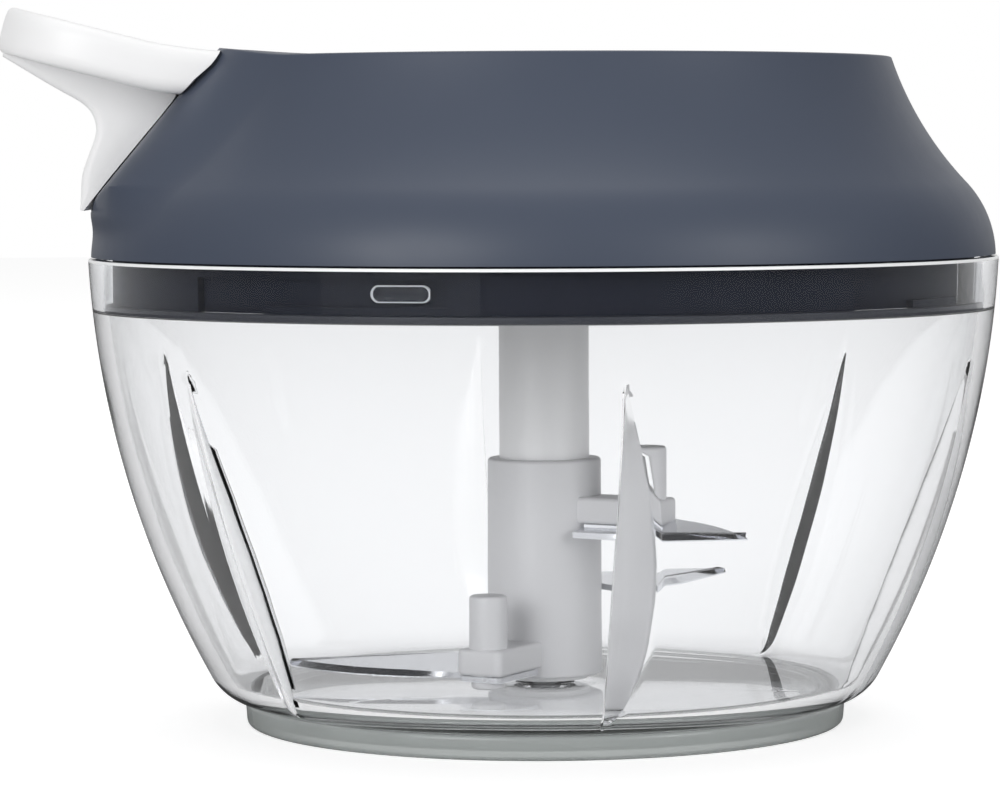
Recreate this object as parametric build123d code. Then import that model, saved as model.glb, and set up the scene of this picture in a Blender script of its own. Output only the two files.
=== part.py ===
from build123d import *
import os
from math import acos, asin, atan2, cos, degrees, hypot, pi, radians, sin, sqrt

# A hand-held food chopper worked by pulling a cord, in millimetres.
# The origin is on the bowl's axis at the level it stands on; +Z is up, and the pull handle is at -X.
# Azimuths are degrees about the axis, from -Y (the front) towards +X.

# Clearances
skin_gap = 0.3
running_gap = 0.05
sliding_gap = 0.1
cut_over = 1.0

# Bowl
foot_level = 4.0
side_arc_radius = 160.5
widest_radius = 75.5
widest_level = 85.5
bowl_wall = 2.6
bowl_corner_radius = 8.0
rim_level = 77.4
rim_radius = widest_radius - side_arc_radius + sqrt(side_arc_radius**2 - (widest_level - rim_level) ** 2)
rim_wall = 2.5
rim_bore_radius = rim_radius - rim_wall
rim_depth = 8.5
ledge_level = rim_level - rim_depth
foot_rim_radius = 48.2
foot_rim_wall = 2.2
foot_rim_bottom = 1.5
floor_boss_radius = 4.5
floor_boss_height = 4.0

# Stirring ribs inside the bowl
rib_count = 6
first_rib_azimuth = 9.5
rib_low_level = 7.4
rib_high_level = 60.0
rib_depth = 4.6
rib_width = 7.5
rib_levels = 8
rib_top_bias = 1.6
rib_least_width = 1.0

# Seal on the bowl's ledge, under the lid's skirt
seal_width = 2.3
seal_height = 1.1
seal_outer_radius = rim_bore_radius - skin_gap
seal_inner_radius = seal_outer_radius - seal_width

# Twist lock between bowl and lid
lock_count = 4
lock_azimuth = -17.4
lock_turn = 25.0
pad_depth = 1.2
pad_distance = rim_bore_radius - pad_depth
pad_width = 26.0
pad_low_level = ledge_level + seal_height + 4 * sliding_gap
lug_drop = 3.9
lug_level = rim_level - lug_drop
lug_length = 9.5
lug_height = 2.7
lug_reach = 1.1

# Non-slip ring under the bowl
base_ring_radius = foot_rim_radius + 1.8
base_ring_height = foot_level - sliding_gap
base_ring_width = 6.2
base_ring_inner_radius = base_ring_radius - base_ring_width
base_ring_inner_height = 3.0

# Pivot pin in the bowl's floor
pivot_radius = 2.5
pivot_height = 12.9
pivot_top = foot_level + bowl_wall + floor_boss_height + pivot_height
pivot_bottom = foot_level + 0.8

# Lid base with the skirt that turns in the bowl's rim
skirt_radius = pad_distance - skin_gap
skirt_wall = 2.8
skirt_bottom = ledge_level + seal_height + 2 * sliding_gap
lid_edge_level = rim_level + skin_gap
deck_low = lid_edge_level + skin_gap
deck_thickness = 2.0
deck_high = deck_low + deck_thickness
track_depth = lug_reach + sliding_gap
track_room = 0.7
track_low = lug_level - lug_height / 2 - track_room
track_high = lug_level + lug_height / 2 + track_room
track_margin = 2.0
boss_radius = 12.0
boss_bottom = skirt_bottom + 2 * sliding_gap

# Blade spindle
post_radius = 7.5
post_bottom = foot_level + bowl_wall + 0.8
clip_thickness = 0.8
clip_level = boss_bottom - clip_thickness - 4 * sliding_gap
post_top = clip_level - 1.4
hub_radius = 9.45
hub_bottom = post_bottom + 0.8
hub_top = 44.0
arm_width = 8.2
arm_reach = 23.0
arm_thickness = 4.3
arm_corner = 0.8
peg_height = 8.6
peg_radius = 2.0
peg_collar_radius = 3.1
peg_distance = 19.6
rivet_radius = 2.8
rivet_height = 1.3

# Blades: name, level of the plate's underside, azimuth, tip radius, tilt, azimuth of the arm above it
blade_thickness = 1.0
blade_width = 14.0
blade_collar_width = 5.0
blade_tip_drop = 0.35
blade_heel_share = 0.5
blade_bow_share = 0.55
blade_bow_height = 0.86
blades = [
    ("blade_upper", 32.6, 58.0, 40.0, 9.0, 60.0),
    ("blade_middle", 21.6, 135.0, 42.5, 3.0, 180.0),
    ("blade_lower", 9.0, -86.0, 43.5, -7.0, -28.0),
]

# Lid shell
lid_step = 0.5
lid_edge_radius = rim_radius - lid_step
lid_wall = 2.2
deck_radius = lid_edge_radius - lid_wall - skin_gap
lid_height = 32.4
lid_top_level = lid_edge_level + lid_height
shoulder_radius = 17.7
shoulder_angle = 43.4
shoulder_centre_radius = lid_edge_radius - shoulder_radius
shoulder_centre_level = rim_level - sliding_gap
lid_top_flare = 0.5
lid_top_radius = shoulder_centre_radius + lid_top_flare

# Slanted seat for the handle on the lid's side, as (x, level)
seat_half_width = 31.5
seat_top = (5.1 - lid_top_radius, lid_top_level + 1.8)
seat_low = (2.7 - lid_edge_radius, lid_edge_level + 10.6)
seat_toe = (skin_gap - lid_edge_radius, lid_edge_level + 7.0)
seat_rise_start = seat_top[0] + 20.0
seat_heel_level = lid_edge_level + 2.8
seat_overrun = 30.0

# Drive in the lid
journal_radius = 5.6
hex_across = 8.0
hex_bottom = post_top - 9.8
hex_socket_bottom = hex_bottom - 1.0
bush_radius = 8.0
bush_flange_radius = 9.6
bush_flange = 1.2
clip_radius = 7.2
clip_seat_radius = 4.9
ratchet_low = deck_high + 3.0
ratchet_height = 3.8
ratchet_high = ratchet_low + ratchet_height
ratchet_hub_radius = 7.2
ratchet_seat_radius = 4.8
ratchet_tooth_radius = 11.0
ratchet_root_radius = 9.2
ratchet_teeth = 12
drum_washer_radius = 8.0
drum_washer_height = 0.8
axle_radius = 3.0

# Cord drum: a cup with a groove round its rim
cord_radius = 0.8
cord_turn_radius = 19.5
drum_low = ratchet_high + drum_washer_height + 2 * sliding_gap
cord_level = drum_low + 8.2
drum_floor = 1.8
groove_height = 5.4
flange_radius = 23.6
flange_thickness = 1.4
drum_inner_radius = 16.2
groove_high = cord_level + cord_radius + running_gap
groove_low = groove_high - groove_height

# Pawls between drum and ratchet wheel
pawl_count = 2
pawl_pivot_distance = 16.0
pawl_pin_radius = 1.2
pawl_pin_head_radius = 2.0
pawl_pin_head = 0.6
pawl_eye_radius = 2.3
pawl_thickness = 2.6
pawl_tip_stand = 1.5
pawl_tip_rise = 1.1
pawl_tip_cover = 0.35
pawl_tip_radius = 0.3
pawl_tip_angle = 24.0
pawl_low = ratchet_low + 0.6
pawl_spring_height = 1.0
pawl_spring_radius = 1.9

# Recoil spring inside the drum
spring_strip = 0.4
spring_pitch = 1.4
spring_first_radius = 6.3
spring_half_turns = 12
spring_height = 5.6
spring_low = drum_low + drum_floor + 0.8

# Bridge over the drum
bridge_low = groove_high + flange_thickness + 2.15
bridge_thickness = 2.0
bridge_radius = 27.0
arbor_radius = 5.0
arbor_bottom = spring_low - 2 * sliding_gap
axle_top = bridge_low + 0.6
pillar_count = 3
pillar_distance = 30.5
pillar_radius = 3.4
first_pillar_azimuth = 160.0
screw_radius = 1.4
screw_head_radius = 2.7
screw_head = 1.8
screw_length = 9.0

# Screws that hold the shell to the lid base
shell_screw_count = 4
shell_screw_distance = 60.0
first_shell_screw = 45.0
shell_post_radius = 3.6
shell_screw_length = 10.0

# Cord guide in the seat
guide_bore_radius = 1.5
guide_radius = 3.0
guide_flange_radius = 4.4
guide_flange = 1.0
guide_boss_radius = 5.2
guide_boss_depth = 6.5
guide_bend = 3.0

# Pull handle: its outline is given in (x, level) steps from the seat's top
handle_gap = 0.35
wing_half_width = 30.0
wing_corner_radius = 14.0
wing_top_start = (-9.0, 0.1)
wing_tip_top = (-35.9, 7.3)
wing_tip_low = (-37.6, -0.3)
wing_root_low = (-10.0, -7.6)
wing_tip_radius = 2.4
stem_half_width = 17.0
stem_curve = [(-33.9, -2.7), (-26.4, -6.7), (-21.9, -9.3), (-19.8, -13.5), (-21.0, -17.3), (-22.5, -20.7)]
stem_foot_low = (-22.5, -26.5)
stem_foot_radius = lid_edge_radius + skin_gap
knot_radius = 1.6
knot_pocket_radius = 3.4
knot_wall = 2.2

os.makedirs("parts", exist_ok=True)


def save(name, shape):
    export_step(shape, f"parts/{name}.step")


def upright(outline):
    """A face drawn as (radius, level) stood up in the XZ plane."""
    return Plane.XZ * outline


def turned(*points):
    """A ring or disc whose section is the polygon through (radius, level) points."""
    section = make_face(Polyline(*points, close=True))
    return revolve(upright(section), Axis.Z)


def tube(inner, outer, low, high):
    return turned((inner, low), (outer, low), (outer, high), (inner, high))


def rod(radius, low, high):
    return Pos(0, 0, low) * extrude(Circle(radius), high - low)


def at_azimuth(azimuth, shape):
    """Turns a shape built along +X so that it points to an azimuth."""
    return Rot(0, 0, azimuth - 90) * shape


def around(shape, count, first=0.0):
    return [Rot(0, 0, first + 360 / count * i) * shape for i in range(count)]


# ---------------------------------------------------------------- bowl

side_centre_radius = widest_radius - side_arc_radius
floor_top = foot_level + bowl_wall


def side_radius(level, depth=0.0):
    """Radius of the bowl's side at a level, at a depth under its outer skin."""
    return side_centre_radius + sqrt((side_arc_radius - depth) ** 2 - (widest_level - level) ** 2)


def bowl_section(depth, floor, top, corner):
    """The section under one skin of the bowl: floor, corner arc and side arc up to a level."""
    arc = side_arc_radius - depth
    corner_level = floor + corner
    corner_centre = side_centre_radius + sqrt((arc - corner) ** 2 - (widest_level - corner_level) ** 2)
    slope = atan2(corner_level - widest_level, corner_centre - side_centre_radius)
    join = (side_centre_radius + arc * cos(slope), widest_level + arc * sin(slope))
    half_way = (slope - pi / 2) / 2
    corner_mid = (corner_centre + corner * cos(half_way), corner_level + corner * sin(half_way))
    side_mid_level = (join[1] + top) / 2
    side_mid = (side_radius(side_mid_level, depth), side_mid_level)
    side_top = (side_radius(top, depth), top)
    outline = [
        Line((0, floor), (corner_centre, floor)),
        ThreePointArc((corner_centre, floor), corner_mid, join),
        ThreePointArc(join, side_mid, side_top),
        Line(side_top, (0, top)),
        Line((0, top), (0, floor)),
    ]
    return revolve(upright(make_face(outline)), Axis.Z)


def rib_section(level):
    """A rib across its length: steep on one side, sloping on the other, sunk in the wall at its ends."""
    share = (level - rib_low_level) / (rib_high_level - rib_low_level)
    swell = sin(pi * (1 - (1 - share) ** rib_top_bias)) if share > 0 else 0.0
    root = side_radius(level, bowl_wall) + bowl_wall / 2
    crest = root - bowl_wall / 2 + skin_gap - (rib_depth + skin_gap) * swell
    width = max(rib_width * swell, rib_least_width)
    outline = Polyline((root, 0), (crest, skin_gap), (root, width), close=True)
    return Pos(0, 0, level) * make_face(outline)


def rib():
    step = (rib_high_level - rib_low_level) / rib_levels
    sections = [rib_section(rib_low_level + step * i) for i in range(rib_levels + 1)]
    return loft(sections, ruled=True)


def lock_pad():
    """Flat pad inside the rim with the oblong lug that the lid's track takes."""
    pad_depth = rim_bore_radius + skin_gap - pad_distance
    pad_height = rim_level - pad_low_level
    pad = Pos(pad_distance + pad_depth / 2, 0, pad_low_level + pad_height / 2)
    pad = pad * Box(pad_depth, pad_width, pad_height)
    slot = Plane.YZ * SlotOverall(lug_length, lug_height)
    lug = Pos(pad_distance - lug_reach, 0, lug_level) * extrude(slot, lug_reach + pad_depth / 2)
    return pad + lug


def bowl():
    outer = bowl_section(0, foot_level, rim_level, bowl_corner_radius)
    inner = bowl_section(bowl_wall, floor_top, rim_level + cut_over, bowl_corner_radius - bowl_wall)
    rim_bore = rod(rim_bore_radius, ledge_level, rim_level + cut_over)
    foot = tube(foot_rim_radius - foot_rim_wall, foot_rim_radius, foot_rim_bottom, floor_top)
    boss = rod(floor_boss_radius, foot_level, floor_top + floor_boss_height)
    body = outer - inner - rim_bore + foot + boss
    for one in around(at_azimuth(first_rib_azimuth, rib()), rib_count):
        body = body + one
    for one in around(at_azimuth(lock_azimuth, lock_pad()), lock_count):
        body = body + one
    return body - rod(pivot_radius, pivot_bottom, floor_top + floor_boss_height + cut_over)


def base_ring():
    groove_outer = foot_rim_radius + sliding_gap
    groove_inner = foot_rim_radius - foot_rim_wall - sliding_gap
    return turned(
        (base_ring_inner_radius, 0),
        (base_ring_radius, 0),
        (base_ring_radius, base_ring_height),
        (groove_outer, base_ring_height),
        (groove_outer, foot_rim_bottom),
        (groove_inner, foot_rim_bottom),
        (groove_inner, base_ring_inner_height),
        (base_ring_inner_radius, base_ring_inner_height),
    )


def pivot_pin():
    pin = rod(pivot_radius, pivot_bottom, pivot_top)
    return chamfer(pin.edges().group_by(Axis.Z)[-1], pivot_radius / 3)


# ---------------------------------------------------------------- blade spindle


def spindle_post():
    post = rod(post_radius, post_bottom, post_top)
    boss_room = rod(floor_boss_radius + 2 * skin_gap, post_bottom, floor_top + floor_boss_height + skin_gap)
    pivot_room = rod(pivot_radius + running_gap, post_bottom, pivot_top + running_gap)
    socket_corner = (hex_across / 2 + sliding_gap) / cos(pi / 6)
    socket = Pos(0, 0, hex_socket_bottom) * extrude(RegularPolygon(socket_corner, 6), post_top)
    return post - boss_room - pivot_room - socket


def blade_arm(plate_level, arm_azimuth):
    """Arm over a blade, with the peg that clamps it and is riveted over underneath."""
    low = plate_level + blade_thickness
    arm_length = arm_reach - post_radius
    arm = Pos(post_radius + arm_length / 2, 0, low + arm_thickness / 2) * Box(arm_length, arm_width, arm_thickness)
    arm = fillet(arm.edges().filter_by(Axis.Z).group_by(Axis.X)[-1], arm_corner)
    collar = rod(peg_collar_radius, low, low + arm_thickness + peg_height)
    shank = rod(peg_radius, plate_level - rivet_height, low)
    rivet = rod(rivet_radius, plate_level - rivet_height, plate_level)
    peg = Pos(peg_distance, 0, 0) * (collar + shank + rivet)
    return at_azimuth(arm_azimuth, arm + peg)


def blade_hub():
    hub = tube(post_radius, hub_radius, hub_bottom, hub_top)
    for _, level, _, _, _, arm_azimuth in blades:
        hub = hub + (blade_arm(level, arm_azimuth) - rod(post_radius, 0, post_top))
    return hub


def blade_leaf(tip, tilt):
    """Leaf along +X with a bowed leading edge, tilted about its own length."""
    root = hub_radius + skin_gap
    half = blade_width / 2
    point = (tip, -half * blade_tip_drop)
    heel = (root + (tip - root) * blade_heel_share, -half)
    bow = (root + (tip - root) * blade_bow_share, half * blade_bow_height)
    outline = [
        Line((root, -half), (root, half)),
        ThreePointArc((root, half), bow, point),
        Line(point, heel),
        Line(heel, (root, -half)),
    ]
    return Rot(tilt, 0, 0) * extrude(make_face(outline), blade_thickness)


def blade(level, azimuth, tip, tilt, arm_azimuth):
    """A tilted leaf joined to the flat tongue under its arm, through part of a collar round the hub."""
    root = hub_radius + skin_gap
    tongue_length = arm_reach - root
    tongue = Pos(root + tongue_length / 2, 0, blade_thickness / 2) * Box(tongue_length, arm_width, blade_thickness)
    arm_room = Pos(arm_reach / 2, 0, 0) * Box(arm_reach, arm_width, blade_width)
    peg_hole = Pos(peg_distance, 0, 0) * rod(peg_radius, -cut_over, blade_thickness + cut_over)
    leaf = at_azimuth(azimuth, blade_leaf(tip, tilt)) - at_azimuth(arm_azimuth, arm_room)
    plate = leaf + at_azimuth(arm_azimuth, tongue - peg_hole)
    sweep_angle = arm_azimuth - azimuth
    if abs(sweep_angle) > degrees(atan2(arm_width / 2, root)):
        place = Pos(root + blade_collar_width / 2, blade_thickness / 2)
        collar = upright(place * Rectangle(blade_collar_width, blade_thickness))
        plate = plate + at_azimuth(azimuth, revolve(collar, Axis.Z, revolution_arc=sweep_angle))
    return Pos(0, 0, level) * (plate - rod(root, -blade_width, blade_width))


# ---------------------------------------------------------------- lid


def lid_section(depth, low):
    """The lid's turned shape at a depth under its skin: rounded shoulder, then a hollow flank."""
    arc = shoulder_radius - depth
    angle = radians(shoulder_angle)
    join = (shoulder_centre_radius + arc * cos(angle), shoulder_centre_level + arc * sin(angle))
    start = (shoulder_centre_radius + arc, shoulder_centre_level)
    mid = (
        shoulder_centre_radius + arc * cos(angle / 2),
        shoulder_centre_level + arc * sin(angle / 2),
    )
    top = (lid_top_radius - depth, lid_top_level - depth)
    outline = [
        Line((0, low), (start[0], low)),
        Line((start[0], low), start),
        ThreePointArc(start, mid, join),
        TangentArc(join, top, tangent=(-sin(angle), cos(angle))),
        Line(top, (0, top[1])),
        Line((0, top[1]), (0, low)),
    ]
    return revolve(upright(make_face(outline)), Axis.Z)


def seat_block():
    """Block on the lid's side whose slanted face the handle rests against."""
    inner = -lid_top_radius + 3 * lid_wall
    outline = Polyline(
        (seat_rise_start, lid_top_level - lid_wall),
        (seat_rise_start, lid_top_level),
        seat_top,
        seat_low,
        seat_toe,
        (seat_toe[0], seat_heel_level),
        (inner, seat_heel_level),
        (inner, lid_top_level - lid_wall),
        close=True,
    )
    block = extrude(upright(make_face(outline)), seat_half_width, both=True)
    return block & rod(lid_edge_radius + skin_gap / 2, 0, 2 * lid_top_level)


def seat_x(level):
    """Where the slanted face stands at a level."""
    slope = (seat_top[0] - seat_low[0]) / (seat_top[1] - seat_low[1])
    return seat_low[0] + slope * (level - seat_low[1])


def seat_side(gap):
    """Everything on the lid's side of the slanted face, held back from it by a gap."""
    run = (seat_top[0] - seat_low[0], seat_top[1] - seat_low[1])
    length = hypot(run[0], run[1])
    unit = (run[0] / length, run[1] / length)
    shift = (gap * unit[1], -gap * unit[0])
    over = (seat_overrun * unit[0], seat_overrun * unit[1])
    far_top = (seat_top[0] + shift[0] + over[0], seat_top[1] + shift[1] + over[1])
    far_low = (seat_low[0] + shift[0] - over[0], seat_low[1] + shift[1] - over[1])
    far_right = lid_edge_radius + lid_wall
    outline = Polyline(far_top, far_low, (far_right, far_low[1]), (far_right, far_top[1]), close=True)
    return extrude(upright(make_face(outline)), lid_edge_radius + lid_wall, both=True)


def lying_rod(radius, low_x, high_x):
    """A rod along X at the cord's level."""
    return Pos(low_x, 0, cord_level) * extrude(Plane.YZ * Circle(radius), high_x - low_x)


def shell_screw_places():
    return [
        Rot(0, 0, first_shell_screw + 360 / shell_screw_count * i) * Pos(shell_screw_distance, 0, 0)
        for i in range(shell_screw_count)
    ]


def lid_shell():
    outer = (lid_section(0, lid_edge_level) + seat_block()) & seat_side(0)
    room = lid_section(lid_wall, 0) & seat_side(lid_wall)
    shell = outer - room
    for place in shell_screw_places():
        shell = shell + (place * rod(shell_post_radius, deck_high, lid_top_level) & outer)
    shell = shell + (lying_rod(guide_boss_radius, seat_x(cord_level), guide_face()) & outer)
    for place in shell_screw_places():
        shell = shell - place * rod(screw_radius, deck_low, deck_high + shell_screw_length)
    shell = shell - lying_rod(guide_radius, 2 * seat_toe[0], guide_face() + cut_over)
    return shell - lying_rod(guide_flange_radius + sliding_gap, guide_face(), 0)


def track_cut(low, high, from_azimuth, to_azimuth):
    """One stretch of the groove that a lug runs in, round the outside of the skirt."""
    floor_radius = skirt_radius - track_depth
    section = upright(
        Pos(floor_radius + track_depth, (low + high) / 2) * Rectangle(2 * track_depth, high - low)
    )
    return at_azimuth(from_azimuth, revolve(section, Axis.Z, revolution_arc=to_azimuth - from_azimuth))


def lug_half_angle():
    return degrees(asin(lug_length / 2 / pad_distance)) + track_margin


def lid_base():
    skirt_inner = skirt_radius - skirt_wall
    base = tube(skirt_inner, skirt_radius, skirt_bottom, deck_low)
    deck = tube(bush_radius, deck_radius, deck_low, deck_high)
    boss = tube(bush_radius, boss_radius, boss_bottom, deck_low)
    base = base + deck + boss
    pillar = Pos(pillar_distance, 0, 0) * rod(pillar_radius, deck_high, bridge_low)
    for one in around(at_azimuth(first_pillar_azimuth, pillar), pillar_count):
        base = base + one
    pillar_hole = Pos(pillar_distance, 0, 0) * rod(
        screw_radius, bridge_low + bridge_thickness - screw_length, bridge_low + cut_over
    )
    for one in around(at_azimuth(first_pillar_azimuth, pillar_hole), pillar_count):
        base = base - one
    closed_end = lock_azimuth + lug_half_angle()
    open_end = lock_azimuth - lock_turn - lug_half_angle()
    entry_end = lock_azimuth - lock_turn + lug_half_angle()
    run = track_cut(track_low, track_high, closed_end, open_end)
    entry = track_cut(skirt_bottom - cut_over, track_high, entry_end, open_end)
    for one in around(run, lock_count) + around(entry, lock_count):
        base = base - one
    for place in shell_screw_places():
        base = base - place * rod(screw_radius + sliding_gap, deck_low - cut_over, deck_high + cut_over)
    return base


def lid_seal():
    low = ledge_level + running_gap
    return tube(seal_inner_radius, seal_outer_radius, low, low + seal_height)


def drive_bush():
    sleeve = tube(journal_radius + running_gap, bush_radius, boss_bottom, deck_high)
    flange = tube(journal_radius + running_gap, bush_flange_radius, deck_high, deck_high + bush_flange)
    return sleeve + flange


def shell_screws():
    head = rod(screw_head_radius, deck_low - screw_head, deck_low)
    screw = head + rod(screw_radius, deck_low, deck_high + shell_screw_length)
    return Compound([place * screw for place in shell_screw_places()])


def bridge():
    """Plate on three pillars over the drum, with the fixed arbor that the spring winds round."""
    plate = rod(bridge_radius, bridge_low, bridge_low + bridge_thickness)
    ear = Pos(pillar_distance, 0, 0) * rod(pillar_radius, bridge_low, bridge_low + bridge_thickness)
    neck_length = pillar_distance - bridge_radius / 2
    neck = Pos(pillar_distance - neck_length / 2, 0, bridge_low + bridge_thickness / 2)
    neck = neck * Box(neck_length, 2 * pillar_radius, bridge_thickness)
    hole = Pos(pillar_distance, 0, 0) * rod(screw_radius, bridge_low - cut_over, bridge_low + bridge_thickness + cut_over)
    for one in around(at_azimuth(first_pillar_azimuth, ear + neck - hole), pillar_count):
        plate = plate + one
    arbor = rod(arbor_radius, arbor_bottom, bridge_low)
    slot = Pos(arbor_radius, 0, arbor_bottom + spring_height / 2)
    slot = slot * Box(2 * arbor_radius - 2 * axle_radius, 2 * spring_strip, spring_height + 2 * cut_over)
    plate = plate + (arbor - slot)
    return plate - rod(axle_radius + running_gap, arbor_bottom - cut_over, axle_top + running_gap)


def bridge_screws():
    top = bridge_low + bridge_thickness
    head = rod(screw_head_radius, top, top + screw_head)
    screw = Pos(pillar_distance, 0, 0) * (head + rod(screw_radius, top - screw_length, top))
    return Compound(around(at_azimuth(first_pillar_azimuth, screw), pillar_count))


def guide_face():
    """Inner face of the boss that the cord's guide passes through."""
    return seat_x(cord_level) + guide_boss_depth


def cord_guide():
    """Bush in the seat that the cord leaves through, cut off level with the slanted face."""
    barrel = lying_rod(guide_radius, 2 * seat_toe[0], guide_face())
    flange = lying_rod(guide_flange_radius, guide_face(), guide_face() + guide_flange)
    guide = (barrel + flange) & seat_side(skin_gap)
    return guide - lying_rod(guide_bore_radius, 2 * seat_toe[0], 0)


# ---------------------------------------------------------------- drive


def drive_shaft():
    corner = hex_across / 2 / cos(pi / 6)
    plug = Pos(0, 0, hex_bottom) * extrude(RegularPolygon(corner, 6), clip_level - hex_bottom)
    seat = rod(clip_seat_radius, clip_level, clip_level + clip_thickness)
    journal = rod(journal_radius, clip_level + clip_thickness, deck_high + bush_flange + running_gap)
    wheel_seat = rod(ratchet_seat_radius, deck_high + bush_flange, ratchet_high)
    axle = rod(axle_radius, ratchet_high, axle_top)
    return plug + seat + journal + wheel_seat + axle


def shaft_clip():
    clip = tube(clip_seat_radius, clip_radius, clip_level, clip_level + clip_thickness)
    mouth = Pos(clip_radius, 0, clip_level) * Box(clip_radius, clip_seat_radius, 4 * clip_thickness)
    return clip - mouth


def ratchet_wheel():
    pitch = 360 / ratchet_teeth
    points = []
    for tooth in range(ratchet_teeth):
        angle = radians(pawl_tip_angle + tooth * pitch)
        for radius in (ratchet_root_radius, ratchet_tooth_radius):
            points.append((radius * cos(angle), radius * sin(angle)))
    wheel = Pos(0, 0, ratchet_low) * extrude(make_face(Polyline(*points, close=True)), ratchet_high - ratchet_low)
    hub_low = deck_high + bush_flange + running_gap
    wheel = wheel + rod(ratchet_hub_radius, hub_low, ratchet_low)
    return wheel - rod(ratchet_seat_radius, hub_low - cut_over, ratchet_high + cut_over)


def drum_washer():
    low = ratchet_high + sliding_gap
    return tube(axle_radius + sliding_gap, drum_washer_radius, low, low + drum_washer_height)


def cord_drum():
    groove_radius = cord_turn_radius - cord_radius - running_gap
    bore = axle_radius + running_gap
    drum = turned(
        (bore, drum_low),
        (groove_radius, drum_low),
        (groove_radius, groove_low - flange_thickness),
        (flange_radius, groove_low - flange_thickness),
        (flange_radius, groove_low),
        (groove_radius, groove_low),
        (groove_radius, groove_high),
        (flange_radius, groove_high),
        (flange_radius, groove_high + flange_thickness),
        (drum_inner_radius, groove_high + flange_thickness),
        (drum_inner_radius, drum_low + drum_floor),
        (bore, drum_low + drum_floor),
    )
    pin_hole = Pos(pawl_pivot_distance, 0, 0) * rod(pawl_pin_radius, drum_low - cut_over, drum_low + drum_floor / 2)
    for one in around(pin_hole, pawl_count):
        drum = drum - one
    return drum


def cord_winding():
    """The turns stored under the last one, as one band in the groove."""
    inner = cord_turn_radius - cord_radius
    return tube(inner, cord_turn_radius + cord_radius, groove_low + sliding_gap, cord_level - cord_radius - sliding_gap)


def pull_cord():
    """The last half turn on the drum, the run to the guide and the end that the handle draws."""
    guide_x = guide_face() + guide_flange
    leave = 180 - degrees(acos(cord_turn_radius / -guide_x))
    leave_point = Vector(cord_turn_radius * cos(radians(leave)), cord_turn_radius * sin(radians(leave)))
    corner = Vector(guide_x, 0)
    run = (corner - leave_point).normalized()
    bend_start = corner - run * guide_bend
    bend_end = corner - Vector(guide_bend, 0)
    route = [
        CenterArc((0, 0), cord_turn_radius, leave - 180, 180),
        Line(leave_point, bend_start),
        TangentArc(bend_start, bend_end, tangent=run),
        Line(bend_end, (knot_x(), 0)),
    ]
    path = Pos(0, 0, cord_level) * Wire(route)
    section = Plane(path @ 0, z_dir=path % 0) * Circle(cord_radius)
    return sweep(section, path)


def pawl():
    """Lever from its pivot pin to a tip that stands behind a ratchet tooth."""
    tip_angle = pawl_tip_angle - degrees(pawl_tip_stand / ratchet_tooth_radius)
    inner_tip = ratchet_root_radius + pawl_tip_rise
    outer_tip = ratchet_tooth_radius + pawl_tip_cover
    corners = []
    for radius in (inner_tip, outer_tip):
        angle = radians(tip_angle)
        corners.append(Pos(radius * cos(angle), radius * sin(angle)) * Circle(pawl_tip_radius))
    eye = Pos(pawl_pivot_distance, 0) * Circle(pawl_eye_radius)
    outline = make_hull([edge for part in [eye, *corners] for edge in part.edges()])
    lever = Pos(0, 0, pawl_low) * extrude(outline, pawl_thickness)
    bore = Pos(pawl_pivot_distance, 0, 0) * rod(
        pawl_pin_radius + running_gap, pawl_low - cut_over, pawl_low + pawl_thickness + cut_over
    )
    return lever - bore


def pawl_pins():
    head_top = pawl_low - sliding_gap
    pin = rod(pawl_pin_head_radius, head_top - pawl_pin_head, head_top)
    pin = pin + rod(pawl_pin_radius, head_top, drum_low + drum_floor / 2)
    return Compound(around(Pos(pawl_pivot_distance, 0, 0) * pin, pawl_count))


def pawl_springs():
    low = pawl_low + pawl_thickness + sliding_gap
    coil = tube(pawl_pin_radius + sliding_gap, pawl_spring_radius, low, low + pawl_spring_height)
    return Compound(around(Pos(pawl_pivot_distance, 0, 0) * coil, pawl_count))


def recoil_spring():
    """Flat strip wound outwards in half turns whose centres alternate by half a pitch."""
    arcs = []
    for half_turn in range(spring_half_turns):
        radius = spring_first_radius + half_turn * spring_pitch / 2
        centre = spring_pitch / 2 if half_turn % 2 else 0
        start = 180 if half_turn % 2 else 0
        arcs.append(CenterArc((centre, 0), radius, start, 180))
    path = Pos(0, 0, spring_low + spring_height / 2) * Wire(arcs)
    section = Plane(path @ 0, x_dir=(0, 0, 1), z_dir=path % 0) * Rectangle(spring_height, spring_strip)
    return sweep(section, path)


# ---------------------------------------------------------------- handle


def from_seat(step):
    """A point of the handle's outline, given as a step from the seat's top."""
    return (seat_top[0] + step[0], seat_top[1] + step[1])


def handle_blank():
    """The wing that the fingers pull and the stem that lies against the seat, before the cord's holes."""
    wing_corners = [from_seat(step) for step in (wing_top_start, wing_tip_top, wing_tip_low, wing_root_low)]
    wing_section = make_face(Polyline(seat_top, *wing_corners, close=True))
    tip_corners = wing_section.vertices().sort_by(Axis.X)[:2]
    wing_section = fillet(tip_corners, wing_tip_radius)
    wing = extrude(upright(wing_section), wing_half_width, both=True)
    plan_centre = Pos(from_seat(wing_tip_low)[0] + lid_edge_radius, 0)
    plan = plan_centre * RectangleRounded(2 * lid_edge_radius, 2 * wing_half_width, wing_corner_radius)
    wing = wing & extrude(plan, 2 * lid_top_level)
    curve = [from_seat(step) for step in stem_curve]
    stem_outline = [
        Line(seat_top, from_seat(wing_top_start)),
        Line(from_seat(wing_top_start), curve[0]),
        Spline(*curve),
        Line(curve[-1], from_seat(stem_foot_low)),
        Line(from_seat(stem_foot_low), seat_toe),
        Line(seat_toe, seat_low),
        Line(seat_low, seat_top),
    ]
    stem = extrude(upright(make_face(stem_outline)), stem_half_width, both=True)
    stem = stem & rod(stem_foot_radius, 0, 2 * lid_top_level) + upper_half()
    return wing + stem - seat_side(-handle_gap)


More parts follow.
